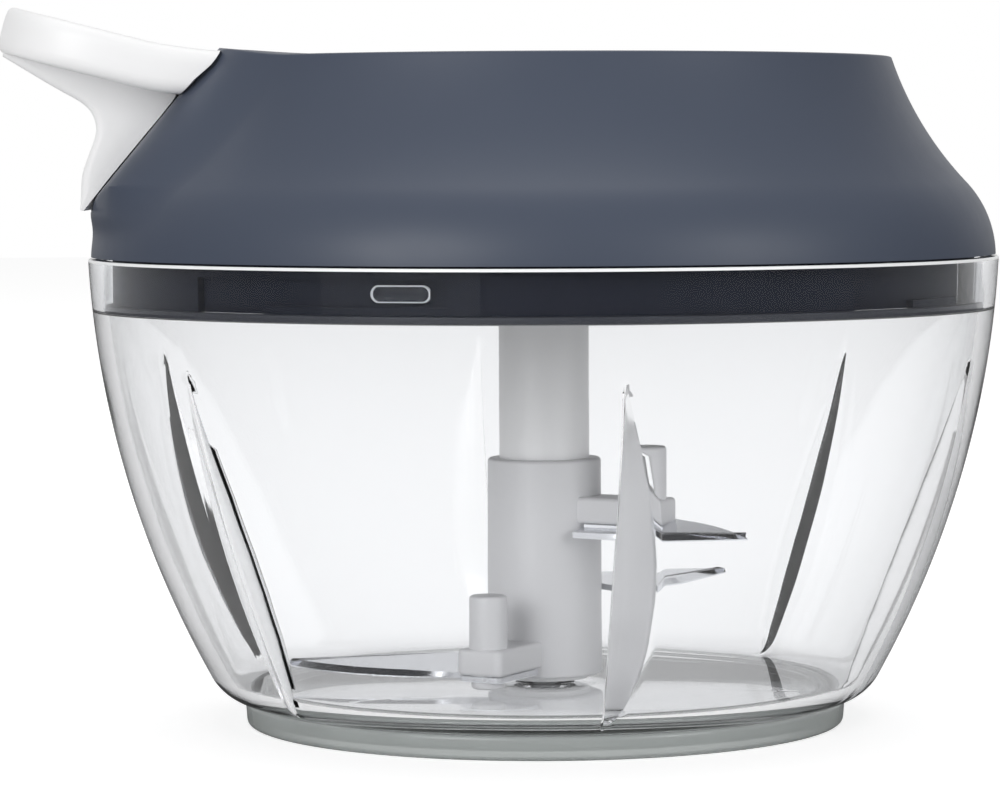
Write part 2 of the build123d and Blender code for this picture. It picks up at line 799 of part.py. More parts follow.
def upper_half():
    """Everything from the wing's root upwards, where the stem may stand out past the foot's radius."""
    low = from_seat(stem_curve[-1])[1]
    return Pos(0, 0, low + lid_top_level / 2) * Box(4 * lid_top_level, 4 * lid_top_level, lid_top_level)


def knot_x():
    """Floor of the pocket that the cord's knot pulls against."""
    return seat_x(cord_level) - knot_wall


def pull_handle():
    cord_hole = lying_rod(cord_radius + running_gap, knot_x() - cut_over, seat_x(cord_level) + cut_over)
    pocket = lying_rod(knot_pocket_radius, 2 * seat_toe[0], knot_x())
    return handle_blank() - cord_hole - pocket


def handle_plug():
    """Cap over the knot, cut to the stem's own curve."""
    back = knot_x() - 2 * knot_radius - 2 * sliding_gap
    return handle_blank() & lying_rod(knot_pocket_radius - running_gap, 2 * seat_toe[0], back)


def cord_knot():
    return Pos(knot_x() - knot_radius, 0, cord_level) * Sphere(knot_radius)


save("bowl", bowl())
save("base_ring", base_ring())
save("pivot_pin", pivot_pin())
save("lid_seal", lid_seal())
save("spindle_post", spindle_post())
save("blade_hub", blade_hub())
for name, *sizes in blades:
    save(name, blade(*sizes))
save("lid_shell", lid_shell())
save("lid_base", lid_base())
save("drive_bush", drive_bush())
save("shell_screws", shell_screws())
save("drive_bridge", bridge())
save("bridge_screws", bridge_screws())
save("cord_guide", cord_guide())
save("drive_shaft", drive_shaft())
save("shaft_clip", shaft_clip())
save("ratchet_wheel", ratchet_wheel())
save("drum_washer", drum_washer())
save("cord_drum", cord_drum())
save("cord_winding", cord_winding())
save("pull_cord", pull_cord())
for i, one in enumerate(around(pawl(), pawl_count)):
    save(f"pawl_{i + 1}", one)
save("pawl_pins", pawl_pins())
save("pawl_springs", pawl_springs())
save("recoil_spring", recoil_spring())
save("pull_handle", pull_handle())
save("handle_plug", handle_plug())
save("cord_knot", cord_knot())
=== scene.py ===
import math
import bmesh
import bpy
import numpy as np
from mathutils import Matrix, Vector


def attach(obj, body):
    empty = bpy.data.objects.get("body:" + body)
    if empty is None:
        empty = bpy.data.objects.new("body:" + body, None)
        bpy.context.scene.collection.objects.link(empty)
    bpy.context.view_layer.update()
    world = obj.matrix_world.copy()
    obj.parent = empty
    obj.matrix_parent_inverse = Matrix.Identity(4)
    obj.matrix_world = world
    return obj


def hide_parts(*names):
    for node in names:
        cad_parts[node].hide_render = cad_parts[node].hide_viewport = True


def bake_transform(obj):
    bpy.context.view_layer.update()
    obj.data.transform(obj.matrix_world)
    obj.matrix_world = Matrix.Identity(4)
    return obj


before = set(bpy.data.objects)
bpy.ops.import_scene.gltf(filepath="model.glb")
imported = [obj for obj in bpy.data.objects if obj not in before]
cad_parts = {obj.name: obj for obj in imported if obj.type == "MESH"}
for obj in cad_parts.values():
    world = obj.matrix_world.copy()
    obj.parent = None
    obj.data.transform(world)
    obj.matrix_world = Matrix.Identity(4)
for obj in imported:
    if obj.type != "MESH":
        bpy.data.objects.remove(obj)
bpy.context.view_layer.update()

mm = 0.001
print("frame loaded:", len(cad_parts), "nodes")


# ---- shader maths: a Value is one socket, and sums written with it become Math nodes

class Value:
    def __init__(self, graph, socket):
        self.graph = graph
        self.socket = socket

    def calc(self, operation, *others):
        terms = {i: term for i, term in enumerate([self, *others])}
        return self.graph.add("ShaderNodeMath", {"operation": operation}, terms)

    def flipped(self, operation, other):
        return self.graph.add("ShaderNodeMath", {"operation": operation}, {0: other, 1: self})

    def __add__(self, other):
        return self.calc("ADD", other)

    def __sub__(self, other):
        return self.calc("SUBTRACT", other)

    def __mul__(self, other):
        return self.calc("MULTIPLY", other)

    def __truediv__(self, other):
        return self.calc("DIVIDE", other)

    def __pow__(self, other):
        return self.calc("POWER", other)

    def __rsub__(self, other):
        return self.flipped("SUBTRACT", other)

    def __rtruediv__(self, other):
        return self.flipped("DIVIDE", other)

    __radd__ = __add__
    __rmul__ = __mul__

    def clipped(self):
        return self.calc("MAXIMUM", 0.0).calc("MINIMUM", 1.0)


class Graph:
    # the node tree of one material or world
    def __init__(self, owner):
        self.owner = owner
        owner.use_nodes = True
        self.tree = owner.node_tree
        self.tree.nodes.clear()

    def add(self, kind, settings=None, sockets=None, out=0):
        node = self.tree.nodes.new(kind)
        for key, value in (settings or {}).items():
            setattr(node, key, value)
        for key, value in (sockets or {}).items():
            if isinstance(value, Value):
                self.tree.links.new(value.socket, node.inputs[key])
            else:
                node.inputs[key].default_value = value
        return Value(self, node.outputs[out]) if len(node.outputs) else node

    def outputs(self, kind, names, sockets=None):
        # the named outputs of one new node
        node = self.add(kind, {}, sockets).socket.node
        return [Value(self, node.outputs[name]) for name in names]

    def place(self, scale=(1, 1, 1)):
        # the piece's own coordinates, in metres
        return self.add("ShaderNodeMapping", {}, {"Vector": self.add("ShaderNodeTexCoord", out=3), "Scale": scale})

    def noise(self, where, scale, detail=3.0, roughness=0.5):
        sockets = {"Vector": where, "Scale": scale, "Detail": detail, "Roughness": roughness}
        return self.add("ShaderNodeTexNoise", {}, sockets)

    def mixed(self, amount, first, second):
        # a colour between two, by amount
        sockets = {0: amount, 6: colour4(first), 7: colour4(second)}
        return self.add("ShaderNodeMix", {"data_type": "RGBA"}, sockets, out=2)

    def tones(self, amount, colour, low, high):
        # a colour that drifts between two strengths
        weaker, stronger = ([min(1.0, channel * factor) for channel in colour] for factor in (low, high))
        return self.mixed(amount, weaker, stronger)

    def bump(self, height, strength, distance):
        sockets = {"Height": height, "Strength": strength, "Distance": distance}
        return self.add("ShaderNodeBump", {}, sockets)

    def surface(self, **sockets):
        names = {key.replace("_", " "): value for key, value in sockets.items()}
        shader = self.add("ShaderNodeBsdfPrincipled", {}, names)
        self.add("ShaderNodeOutputMaterial", {}, {"Surface": shader})
        return self.owner


def colour4(colour):
    return colour if isinstance(colour, Value) else (*colour[:3], 1.0)


# ---- finishes

plasticBase = {
    "roughness": 0.42, "driftScale": 22.0, "drift": 0.03, "grainScale": 5200.0, "grainStrength": 0.10,
    "grainDepth": 0.00004, "rubScale": 140.0, "rubDepth": 0.10, "ior": 1.46, "specular": 0.5,
}


def mouldedPlastic(name, **changes):
    # satin moulded plastic: a slow drift of tone, a fine spark-eroded grain and faint rubbed patches
    look = {**plasticBase, **changes}
    graph = Graph(bpy.data.materials.new(name))
    where = graph.place()
    drift = graph.noise(where, look["driftScale"], 2.0)
    grain = graph.noise(where, look["grainScale"], 4.0, 0.6)
    rub = graph.noise(where, look["rubScale"], 5.0, 0.65)
    return graph.surface(
        Base_Color=graph.tones(drift, look["colour"], 1 - look["drift"], 1 + look["drift"]),
        Roughness=((rub - 0.5) * look["rubDepth"] + look["roughness"]).clipped(),
        Normal=graph.bump(grain, look["grainStrength"], look["grainDepth"]),
        IOR=look["ior"],
        Specular_IOR_Level=look["specular"],
    )


slatePlastic = mouldedPlastic("slatePlastic", colour=(0.060, 0.074, 0.108))
charcoalPlastic = mouldedPlastic(
    "charcoalPlastic", colour=(0.010, 0.012, 0.020), roughness=0.55, rubDepth=0.05, grainStrength=0.0, specular=0.12
)
# the white plastic is made brighter in part as painted light, so the post looks well lit; the hub's finish below is the
# same white plastic painted darker, as painted shade
whitePlastic = mouldedPlastic("whitePlastic", colour=(0.94, 0.94, 0.945), drift=0.012)
shadedWhitePlastic = mouldedPlastic("shadedWhitePlastic", colour=(0.74, 0.74, 0.755), drift=0.012)
handlePlastic = mouldedPlastic("handlePlastic", colour=(0.89, 0.89, 0.895), roughness=0.40, drift=0.01)
# painted highlight: opaque near-white plastic on the moulded edges of the clear bowl at the rim and the ledge, and on
# the lugs' outlines, where clear edges catch the light
paintedHighlight = mouldedPlastic("paintedHighlight", colour=(0.93, 0.94, 0.95), roughness=0.25, grainStrength=0.05)

# the edge colour is painted shade, mixed into the base colour where the plastic is seen edge on
clearBase = {
    "colour": (0.938, 0.943, 0.952), "edgeColour": (0.28, 0.29, 0.31), "edgeBlend": 0.5, "edgePower": 4.0,
    "shade": (0.985, 0.987, 0.99), "roughness": 0.01, "ior": 1.49, "rippleScale": 60.0, "rippleStrength": 0.10,
    "rippleDepth": 0.0003, "wipeStretch": 6.0, "wipeScale": 260.0, "wipeLevel": 0.66, "wipeDepth": 0.10,
}


def clearPlastic(name, **changes):
    # polished clear plastic: painted shade makes it greyer where it is seen edge on, with the mould's slow ripples and
    # fine wipe marks
    look = {**clearBase, **changes}
    graph = Graph(bpy.data.materials.new(name))
    ripple = graph.noise(graph.place(), look["rippleScale"], 1.0)
    wipe = graph.noise(graph.place((1, 1, look["wipeStretch"])), look["wipeScale"], 4.0, 0.7)
    edgeShadeAmount = graph.add("ShaderNodeLayerWeight", {}, {"Blend": look["edgeBlend"]}, out=1)
    plastic = graph.add("ShaderNodeBsdfPrincipled", {}, {
        "Base Color": graph.mixed((edgeShadeAmount ** look["edgePower"]).clipped(), look["colour"], look["edgeColour"]),
        "Roughness": ((wipe - look["wipeLevel"]).clipped() * look["wipeDepth"] + look["roughness"]).clipped(),
        "Normal": graph.bump(ripple, look["rippleStrength"], look["rippleDepth"]),
        "IOR": look["ior"],
        "Transmission Weight": 1.0,
    })
    # lamps shine straight through
    shadow, diffuse = graph.outputs("ShaderNodeLightPath", ("Is Shadow Ray", "Is Diffuse Ray"))
    clear = graph.add("ShaderNodeBsdfTransparent", {}, {"Color": (*look["shade"], 1.0)})
    both = graph.add("ShaderNodeMixShader", {}, {0: shadow.calc("MAXIMUM", diffuse), 1: plastic, 2: clear})
    graph.add("ShaderNodeOutputMaterial", {}, {"Surface": both})
    return graph.owner


# the ribs are duller, with a lighter painted edge shade, and the rim bends light less than the wall does
clearBowl = clearPlastic("clearBowl")
clearRib = clearPlastic(
    "clearRib", colour=(0.975, 0.98, 0.985), edgeColour=(0.80, 0.815, 0.82), edgePower=3.0, roughness=0.16,
    rippleScale=90.0,
)
clearRim = clearPlastic("clearRim", colour=(0.93, 0.94, 0.955), edgeColour=(0.55, 0.56, 0.58), ior=1.16)

rubberBase = {
    "roughness": 0.5, "skinRough": 0.16, "ior": 1.43, "clear": 0.0, "mottle": 0.08, "mottleScale": 90.0,
    "skinScale": 2600.0, "skinStrength": 0.10, "skinDepth": 0.00005,
}


def softRubber(name, **changes):
    # soft rubber, translucent where it is clear: a mottled tone and a dull moulded skin
    look = {**rubberBase, **changes}
    graph = Graph(bpy.data.materials.new(name))
    where = graph.place()
    mottle = graph.noise(where, look["mottleScale"], 3.0)
    skin = graph.noise(where, look["skinScale"], 3.0, 0.6)
    return graph.surface(
        Base_Color=graph.tones(mottle, look["colour"], 1 - look["mottle"], 1 + look["mottle"]),
        Roughness=(skin * look["skinRough"] + look["roughness"]).clipped(),
        Normal=graph.bump(skin, look["skinStrength"], look["skinDepth"]),
        IOR=look["ior"],
        Transmission_Weight=look["clear"],
    )


ringRubber = softRubber(
    "ringRubber", colour=(0.60, 0.63, 0.62), roughness=0.16, skinRough=0.10, clear=0.55, skinStrength=0.08
)
darkSilicone = softRubber("darkSilicone", colour=(0.018, 0.02, 0.028))

metalBase = {
    "stretch": (1, 14, 1), "lineScale": 900.0, "toneScale": 60.0, "tones": (0.94, 1.04), "lineRough": 0.22,
    "lineStrength": 0.14, "lineDepth": 0.00003,
}


def workedMetal(name, **changes):
    # ground or turned metal: hair lines along one direction over a slow tone
    look = {**metalBase, **changes}
    graph = Graph(bpy.data.materials.new(name))
    lines = graph.noise(graph.place(look["stretch"]), look["lineScale"], 5.0, 0.62)
    tone = graph.noise(graph.place(), look["toneScale"], 2.0)
    return graph.surface(
        Base_Color=graph.tones(tone, look["colour"], *look["tones"]),
        Roughness=((lines - 0.5) * look["lineRough"] + look["roughness"]).clipped(),
        Normal=graph.bump(lines, look["lineStrength"], look["lineDepth"]),
        Metallic=1.0,
    )


bladeSteel = workedMetal("bladeSteel", colour=(0.76, 0.77, 0.80), roughness=0.24)
pinSteel = workedMetal("pinSteel", colour=(0.56, 0.57, 0.58), roughness=0.30, stretch=(1, 1, 18))
springSteel = workedMetal("springSteel", colour=(0.36, 0.40, 0.46), roughness=0.28, stretch=(1, 1, 12))
bushBrass = workedMetal("bushBrass", colour=(0.78, 0.60, 0.30), roughness=0.26, stretch=(1, 1, 20))


def braidedCord(name, look):
    # two sets of strands that cross on the cord's skin, from its own map (along, round)
    graph = Graph(bpy.data.materials.new(name))
    where = graph.add("ShaderNodeTexCoord", out=2)
    along, round_ = graph.outputs("ShaderNodeSeparateXYZ", (0, 1), {"Vector": where})
    left = ((along * look["pitch"] + round_ * look["strands"]) * math.tau).calc("SINE")
    right = ((along * look["pitch"] - round_ * look["strands"]) * math.tau).calc("SINE")
    weave = left.calc("MAXIMUM", right) * 0.5 + 0.5
    fuzz = graph.noise(graph.place(), look["fuzzScale"], 3.0)
    height = weave + fuzz * look["fuzz"]
    return graph.surface(
        Base_Color=graph.mixed(weave.clipped(), look["shade"], look["colour"]),
        Roughness=(fuzz * 0.2 + look["roughness"]).clipped(),
        Normal=graph.bump(height, look["strength"], look["depth"]),
        Sheen_Weight=0.3,
    )


cordBraid = braidedCord("cordBraid", {
    "colour": (0.82, 0.82, 0.82), "shade": (0.52, 0.53, 0.55), "roughness": 0.66, "pitch": 420.0, "strands": 6.0,
    "fuzzScale": 5200.0, "fuzz": 0.4, "strength": 0.6, "depth": 0.00012,
})
print("finishes made")


# ---- surfaces

tolerance = {"weld": 2e-6, "flat": 1e-7}


def placed(name, data):
    thing = bpy.data.objects.new(name, data)
    bpy.context.scene.collection.objects.link(thing)
    return thing


def meshPiece(name, shape, finish, body):
    # a smooth piece from (points, faces) in millimetres, riding on its body if it has one
    points, faces = shape
    mesh = bpy.data.meshes.new(name)
    mesh.from_pydata((points * mm).tolist(), [], faces)
    work = bmesh.new()
    work.from_mesh(mesh)
    bmesh.ops.remove_doubles(work, verts=work.verts, dist=tolerance["weld"])
    bmesh.ops.dissolve_degenerate(work, edges=work.edges, dist=tolerance["flat"])
    bmesh.ops.recalc_face_normals(work, faces=work.faces)
    work.to_mesh(mesh)
    work.free()
    mesh.shade_smooth()
    mesh.materials.append(finish)
    piece = placed(name, mesh)
    if body:
        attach(piece, body)
    return piece


def sharpened(piece, angle):
    # edges steeper than angle stay crisp
    piece.data.set_sharp_from_angle(angle=math.radians(angle))
    return piece


def refinished(piece, finish, chosen):
    # another finish on the faces that chosen marks
    piece.data.materials.append(finish)
    index = np.empty(len(piece.data.polygons), np.int32)
    piece.data.polygons.foreach_get("material_index", index)
    index[chosen] = len(piece.data.materials) - 1
    piece.data.polygons.foreach_set("material_index", index)


def joined(*columns):
    # points from their coordinates, where one number may serve many points
    return np.stack(np.broadcast_arrays(*columns), axis=-1)


def valuesOf(shape, names):
    return [shape[name] for name in names.split()]


def faceVectors(piece, kind):
    # the center or the normal of every face
    found = np.empty(3 * len(piece.data.polygons))
    piece.data.polygons.foreach_get(kind, found)
    return found.reshape(-1, 3)


def gridShape(grid, closed=False):
    # points and quads of a grid that is joined round its columns, and round its rows where it is closed
    rows, columns = grid.shape[:2]
    row, column = np.meshgrid(np.arange(rows if closed else rows - 1), np.arange(columns), indexing="ij")
    nextRow, nextColumn = (row + 1) % rows, (column + 1) % columns
    pairs = ((row, column), (row, nextColumn), (nextRow, nextColumn), (nextRow, column))
    faces = joined(*[r * columns + c for r, c in pairs]).reshape(-1, 4)
    return grid.reshape(-1, 3), faces.tolist()


def cappedShape(grid):
    # the same with a face over its first row and one over its last
    points, faces = gridShape(grid)
    columns = grid.shape[1]
    return points, faces + [list(range(columns)), list(range(len(points) - columns, len(points)))]


def circle(angle):
    # points of the unit circle at angles in radians
    return joined(np.cos(angle), np.sin(angle))


def aimed(azimuth):
    # unit direction of an azimuth in degrees, from -Y towards +X
    angle = np.radians(azimuth)
    return np.sin(angle), -np.cos(angle)


def turnedPoints(profile, columns):
    # every (radius, level) of the profile carried round the axis
    azimuth = np.linspace(0.0, 360.0, columns, endpoint=False)
    across, along = aimed(azimuth)
    radius, level = profile[:, 0][:, None], profile[:, 1][:, None]
    return joined(radius * across, radius * along, level)


def bent(start, middle, end, count):
    # count points of the quadratic curve from start to end that is drawn towards middle
    t = np.linspace(0, 1, count)[:, None]
    return (1 - t) ** 2 * start + 2 * t * (1 - t) * middle + t ** 2 * end


def softened(corners, steps=5):
    # a line through (x, y, radius) corners with each corner rounded to its radius
    line = []
    for i, (x, y, radius) in enumerate(corners):
        here = np.array([x, y], float)
        if radius == 0 or i in (0, len(corners) - 1):
            line.append(here[None])
            continue
        ways = [np.array(corners[near][:2], float) - here for near in (i - 1, i + 1)]
        start, end = (here + way * min(radius / np.linalg.norm(way), 0.49) for way in ways)
        line.append(bent(start, here, end, steps + 1))
    return np.concatenate(line)


def loopSoftened(corners, steps=5):
    # the same for a closed outline
    closed = [corners[-1], *corners, corners[0]]
    return softened(closed, steps)[1:-1]


def unit(vectors):
    return vectors / (np.linalg.norm(vectors, axis=1)[:, None] + 1e-12)


def reachAlong(line):
    # how far along a line each of its points lies
    return np.concatenate([[0], np.cumsum(np.linalg.norm(np.diff(line, axis=0), axis=1))])


def alongLine(line, share):
    # points at shares of a line's length
    reach = reachAlong(line)
    return joined(*[np.interp(share, reach / reach[-1], coordinate) for coordinate in line.T])


def resampled(line, count, closed=False):
    # count points at even distances along a line
    whole = np.concatenate([line, line[:1]]) if closed else line
    return alongLine(whole, np.linspace(0, 1, count, endpoint=not closed))


def inset(outline, distance):
    # a closed outline moved inwards along its own normals
    along = unit(np.roll(outline, -1, axis=0) - np.roll(outline, 1, axis=0))
    area = np.sum(outline[:, 0] * np.roll(outline[:, 1], -1) - np.roll(outline[:, 0], -1) * outline[:, 1])
    inward = joined(-along[:, 1], along[:, 0]) * (1 if area > 0 else -1)
    return outline + inward * distance


def atLevel(outline, level):
    return np.column_stack([outline, np.full(len(outline), level)])


def prismShape(outline, low, high, edge, steps=4):
    # an outline carried from low to high, drawn in by a quarter circle of radius edge at both ends
    angle = np.linspace(0, math.pi / 2, steps + 1)
    drawIn = np.concatenate([edge * (1 - np.sin(angle)), edge * (1 - np.cos(angle))])
    level = np.concatenate([low + edge * (1 - np.cos(angle)), high - edge * (1 - np.sin(angle))])
    return cappedShape(np.stack([atLevel(inset(outline, d), z) for d, z in zip(drawIn, level)]))


def turnedTo(shape, azimuth):
    # a shape built along +X, turned so that +X points to an azimuth
    points, faces = shape
    across, along = aimed(azimuth)
    x, y, z = points.T
    return joined(x * across - y * along, x * along + y * across, z), faces


def together(parts):
    # several (points, faces) in one
    points, faces, shift = [], [], 0
    for part, sides in parts:
        points.append(part)
        faces += [[corner + shift for corner in side] for side in sides]
        shift += len(part)
    return np.concatenate(points), faces


# ---- bowl

bowlShape = {
    "arcRadius": 160.5, "widestRadius": 75.5, "widestLevel": 85.5, "wall": 2.6, "corner": 8.0,
    "rimLevel": 77.4, "rimBore": 72.8, "ledgeLevel": 68.9, "footLevel": 4.0, "footRim": 48.2,
    "footRimWall": 2.2, "footRimBottom": 1.5, "bossRadius": 4.5, "bossHeight": 4.0, "bossRun": 6.0,
    "pinRadius": 2.5, "pinBottom": 4.8, "rimEdge": 0.5, "sideRows": 64,
    "ribCount": 6, "ribAzimuth": 9.5, "ribDepth": 3.2, "ribSteep": 0.45, "ribLeastWidth": 1.0, "ribLeastRadius": 30.0,
    "ribLevels": (6.9, 8.1, 11.4, 19.0, 26.6, 32.7, 41.8, 49.4, 57.0, 60.5),
    "ribWidths": (1.0, 2.7, 4.25, 6.1, 6.7, 6.5, 5.2, 3.3, 1.3, 0.0),
    # shares of the rib's width and of its depth over the steep side, and how the depth fades over the other
    "steepShares": (0, 0.35, 0.7, 1.0), "steepDepths": (0.0, 0.5, 0.88, 0.99), "fadePower": 1.15,
    "ribColumns": 14, "gapColumns": 44,
}
# where the wall's faces get another finish: distances from a level or a radius
bowlZones = {
    "ribFrom": 9.0, "ribUnderLedge": 1.0, "ribOffWall": 0.08, "rimOverLedge": 0.3, "rimBand": (0.42, 0.02),
    "ledgeHalf": 0.2, "ledgeInBore": 0.1, "ledgeInWall": 0.3,
}


def bowlSideRadius(level, depth):
    # radius of the side's arc at a level, under a depth of wall
    shape = bowlShape
    centre = shape["widestRadius"] - shape["arcRadius"]
    return centre + np.sqrt((shape["arcRadius"] - depth) ** 2 - (shape["widestLevel"] - level) ** 2)


def bowlSide(depth, floor, top, corner, rows):
    # from the floor's end through the corner arc and up the side, for one skin
    shape = bowlShape
    centre = shape["widestRadius"] - shape["arcRadius"]
    cornerLevel = floor + corner
    cornerCentre = bowlSideRadius(cornerLevel, depth + corner)
    slope = math.atan2(cornerLevel - shape["widestLevel"], cornerCentre - centre)
    angle = np.linspace(-math.pi / 2, slope, 15)
    bend = [cornerCentre, cornerLevel] + corner * circle(angle)
    level = np.linspace(bend[-1, 1], top, rows)[1:]
    side = joined(bowlSideRadius(level, depth), level)
    return np.concatenate([bend, side])


def bowlProfile():
    # once round the section, from the axis under the floor to the axis in the pin's hole
    foot, rimLevel, rimEdge, bore, ledge, wall, corner, rows = valuesOf(
        bowlShape, "footLevel rimLevel rimEdge rimBore ledgeLevel wall corner sideRows"
    )
    footOuter, footWall, footBottom, boss, bossHeight, bossRun, pin, pinBottom = valuesOf(
        bowlShape, "footRim footRimWall footRimBottom bossRadius bossHeight bossRun pinRadius pinBottom"
    )
    footInner, floorTop = footOuter - footWall, foot + wall
    bossTop = floorTop + bossHeight
    outer = bowlSide(0.0, foot, rimLevel - rimEdge, corner, rows)
    inner = bowlSide(wall, floorTop, ledge, corner - wall, rows)[::-1]
    under = softened([
        (0, foot, 0), (footInner, foot, 0.3), (footInner, footBottom, 0.5), (footOuter, footBottom, 0.5),
        (footOuter, foot, 0.3), (footOuter + 1, foot, 0),
    ])
    rim = softened([
        (*outer[-1], 0), (outer[-1, 0], rimLevel, rimEdge), (bore, rimLevel, rimEdge), (bore, ledge, 0.25),
        (*inner[0], 0),
    ])[1:-1]
    middle = softened([
        (boss + bossRun, floorTop, 0), (boss, floorTop, 0.8), (boss, bossTop, 0.6), (pin, bossTop, 0.2),
        (pin, pinBottom, 0.2), (0, pinBottom, 0),
    ])
    profile = np.concatenate([under, outer, rim, inner, middle])
    innerFrom = len(under) + len(outer) + len(rim)
    innerRows = np.zeros(len(profile), bool)
    innerRows[innerFrom:innerFrom + len(inner)] = True
    return profile, innerRows


def bowlPoints():
    # radius and azimuth of every point: six sectors, each a rib's columns and then the plain wall's
    shape = bowlShape
    count = shape["ribCount"]
    profile, innerRows = bowlProfile()
    radius, level = profile[:, :1], profile[:, 1:]
    width = np.interp(level, shape["ribLevels"], shape["ribWidths"], left=shape["ribWidths"][0], right=0.0)
    ribRadius = np.maximum(radius, shape["ribLeastRadius"])
    spread = np.degrees(np.maximum(width, shape["ribLeastWidth"]) / ribRadius)
    steep = np.degrees(shape["ribSteep"] / ribRadius)
    slopeShare = np.linspace(0, 1, shape["ribColumns"] - len(shape["steepShares"]))
    gapShare = np.linspace(0, 1, shape["gapColumns"] + 2)[1:-1]
    step = 360.0 / count
    turn = np.concatenate([
        np.array([shape["steepShares"]]) * steep,
        steep + slopeShare * (spread - steep),
        spread + gapShare * (step - spread),
    ], axis=1)
    sectors = np.concatenate([turn + shape["ribAzimuth"] + step * i for i in range(count)], axis=1)
    fade = 1 - slopeShare ** shape["fadePower"]
    depthShare = np.concatenate([shape["steepDepths"], fade, np.zeros(shape["gapColumns"])])
    depth = shape["ribDepth"] * width / max(shape["ribWidths"])
    reach = radius - np.tile(depthShare, count) * depth * innerRows[:, None]
    across, along = aimed(sectors)
    return joined(reach * across, reach * along, level)


def bowlFinishes(wall):
    # duller ribs, a clearer rim, and a painted highlight on the edges at the rim and the ledge
    shape, zones = bowlShape, bowlZones
    middle = faceVectors(wall, "center") / mm
    radius, level = np.hypot(middle[:, 0], middle[:, 1]), middle[:, 2]
    overLedge, underRim = level - shape["ledgeLevel"], shape["rimLevel"] - level
    inside = bowlSideRadius(level, shape["wall"])
    onRib = (level > zones["ribFrom"]) & (overLedge < -zones["ribUnderLedge"])
    onRib &= (radius < inside - zones["ribOffWall"]) & (radius > shape["ribLeastRadius"])
    high, low = zones["rimBand"]
    atRim = (underRim < high) & (underRim > low)
    atLedge = (np.abs(overLedge) < zones["ledgeHalf"]) & (radius < shape["rimBore"] - zones["ledgeInBore"])
    atLedge &= radius > inside - zones["ledgeInWall"]
    refinished(wall, clearRib, onRib)
    refinished(wall, clearRim, overLedge > zones["rimOverLedge"])
    refinished(wall, paintedHighlight, atRim | atLedge)


bowlWall = meshPiece("bowlWall", gridShape(bowlPoints()), clearBowl, "bowl")
sharpened(bowlWall, 32)
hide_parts("bowl")
bowlFinishes(bowlWall)
print("bowl made:", len(bowlWall.data.polygons), "faces")

lockShape = {
    "count": 4, "azimuth": -17.4, "distance": 71.6, "low": 70.4, "underRim": 0.3, "halfWidth": 12.6, "gap": 0.02,
    "lugLength": 9.5, "lugHeight": 2.7, "lugReach": 1.1, "lugLevel": 73.5, "lugEdge": 0.35,
    # how far a face has to lean before it counts as the lug's outline
    "outlineLean": 0.15,
}


def lugShape():
    # an oblong carried out of the pad's face, rounded at its inner end
    shape = lockShape
    half = shape["lugHeight"] / 2
    straight = shape["lugLength"] / 2 - half
    angle = np.linspace(0, 2 * math.pi, 40, endpoint=False)
    outline = joined(half * np.cos(angle) + straight * np.sign(np.cos(angle)), half * np.sin(angle))
    inner, outer = shape["distance"] - shape["lugReach"], shape["distance"] - shape["gap"]
    points, faces = prismShape(outline, inner, outer, shape["lugEdge"])
    across, up, out = points.T
    return joined(out, across, up + shape["lugLevel"]), faces


def padShape():
    # the flat pad's slice of the bore, between its chord and the round wall
    shape = lockShape
    half, bore = shape["halfWidth"], bowlShape["rimBore"] - shape["gap"]
    across = np.linspace(-half, half, 41)
    chord = [[shape["distance"], half], [shape["distance"], -half]]
    outline = np.concatenate([chord, joined(np.sqrt(bore ** 2 - across ** 2), across)])
    levels = (shape["low"], bowlShape["rimLevel"] - shape["underRim"])
    return cappedShape(np.stack([atLevel(outline, level) for level in levels]))


def lockPiece(name, shape, angle):
    azimuths = [lockShape["azimuth"] + 360.0 / lockShape["count"] * i for i in range(lockShape["count"])]
    parts = together([turnedTo(shape, azimuth) for azimuth in azimuths])
    return sharpened(meshPiece(name, parts, clearRim, "bowl"), angle)


def lugFinish(lugs):
    # the faces that look neither inwards nor along the rim get the outline's painted highlight
    outwards = np.array([*aimed(lockShape["azimuth"]), 0.0])
    sideways = np.array([-outwards[1], outwards[0], 0.0])
    normal = faceVectors(lugs, "normal")
    lean = np.minimum(np.abs(normal @ outwards), np.abs(normal @ sideways))
    refinished(lugs, paintedHighlight, lean ** 2 + normal[:, 2] ** 2 > lockShape["outlineLean"])


lockPads = lockPiece("lockPads", padShape(), 20)
lockLugs = lockPiece("lockLugs", lugShape(), 40)
lugFinish(lockLugs)

# ---- seal on the ledge, pressed up to the skirt

sealShape = {"outer": 72.5, "inner": 70.2, "low": 68.92, "high": 70.19, "edge": 0.25}
sealProfile = loopSoftened([
    (sealShape[radius], sealShape[level], sealShape["edge"])
    for radius, level in (("inner", "low"), ("outer", "low"), ("outer", "high"), ("inner", "high"))
])
sealRing = meshPiece("sealRing", gridShape(turnedPoints(sealProfile, 288), True), darkSilicone, "seal")
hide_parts("lid_seal")

# ---- soft ring under the bowl

ringShape = {
    "radius": 50.0, "height": 3.9, "draft": 0.3, "inner": 43.8, "innerHeight": 3.0, "grooveOuter": 48.3,
    "grooveInner": 45.9, "grooveFloor": 1.5,
}


def ringProfile():
    inner, innerHeight, grooveInner, grooveOuter, grooveFloor, radius, height, draft = valuesOf(
        ringShape, "inner innerHeight grooveInner grooveOuter grooveFloor radius height draft"
    )
    return loopSoftened([
        (inner, 0, 0.5), (radius - draft, 0, 0.8), (radius, height, 0.7), (grooveOuter, height, 0.2),
        (grooveOuter, grooveFloor, 0.2), (grooveInner, grooveFloor, 0.2), (grooveInner, innerHeight, 0.2),
        (inner, innerHeight, 0.6),
    ])


softRing = meshPiece("softRing", gridShape(turnedPoints(ringProfile(), 288), True), ringRubber, "bowl")
sharpened(softRing, 40)
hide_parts("base_ring")
print("ring made")

# ---- blade spindle

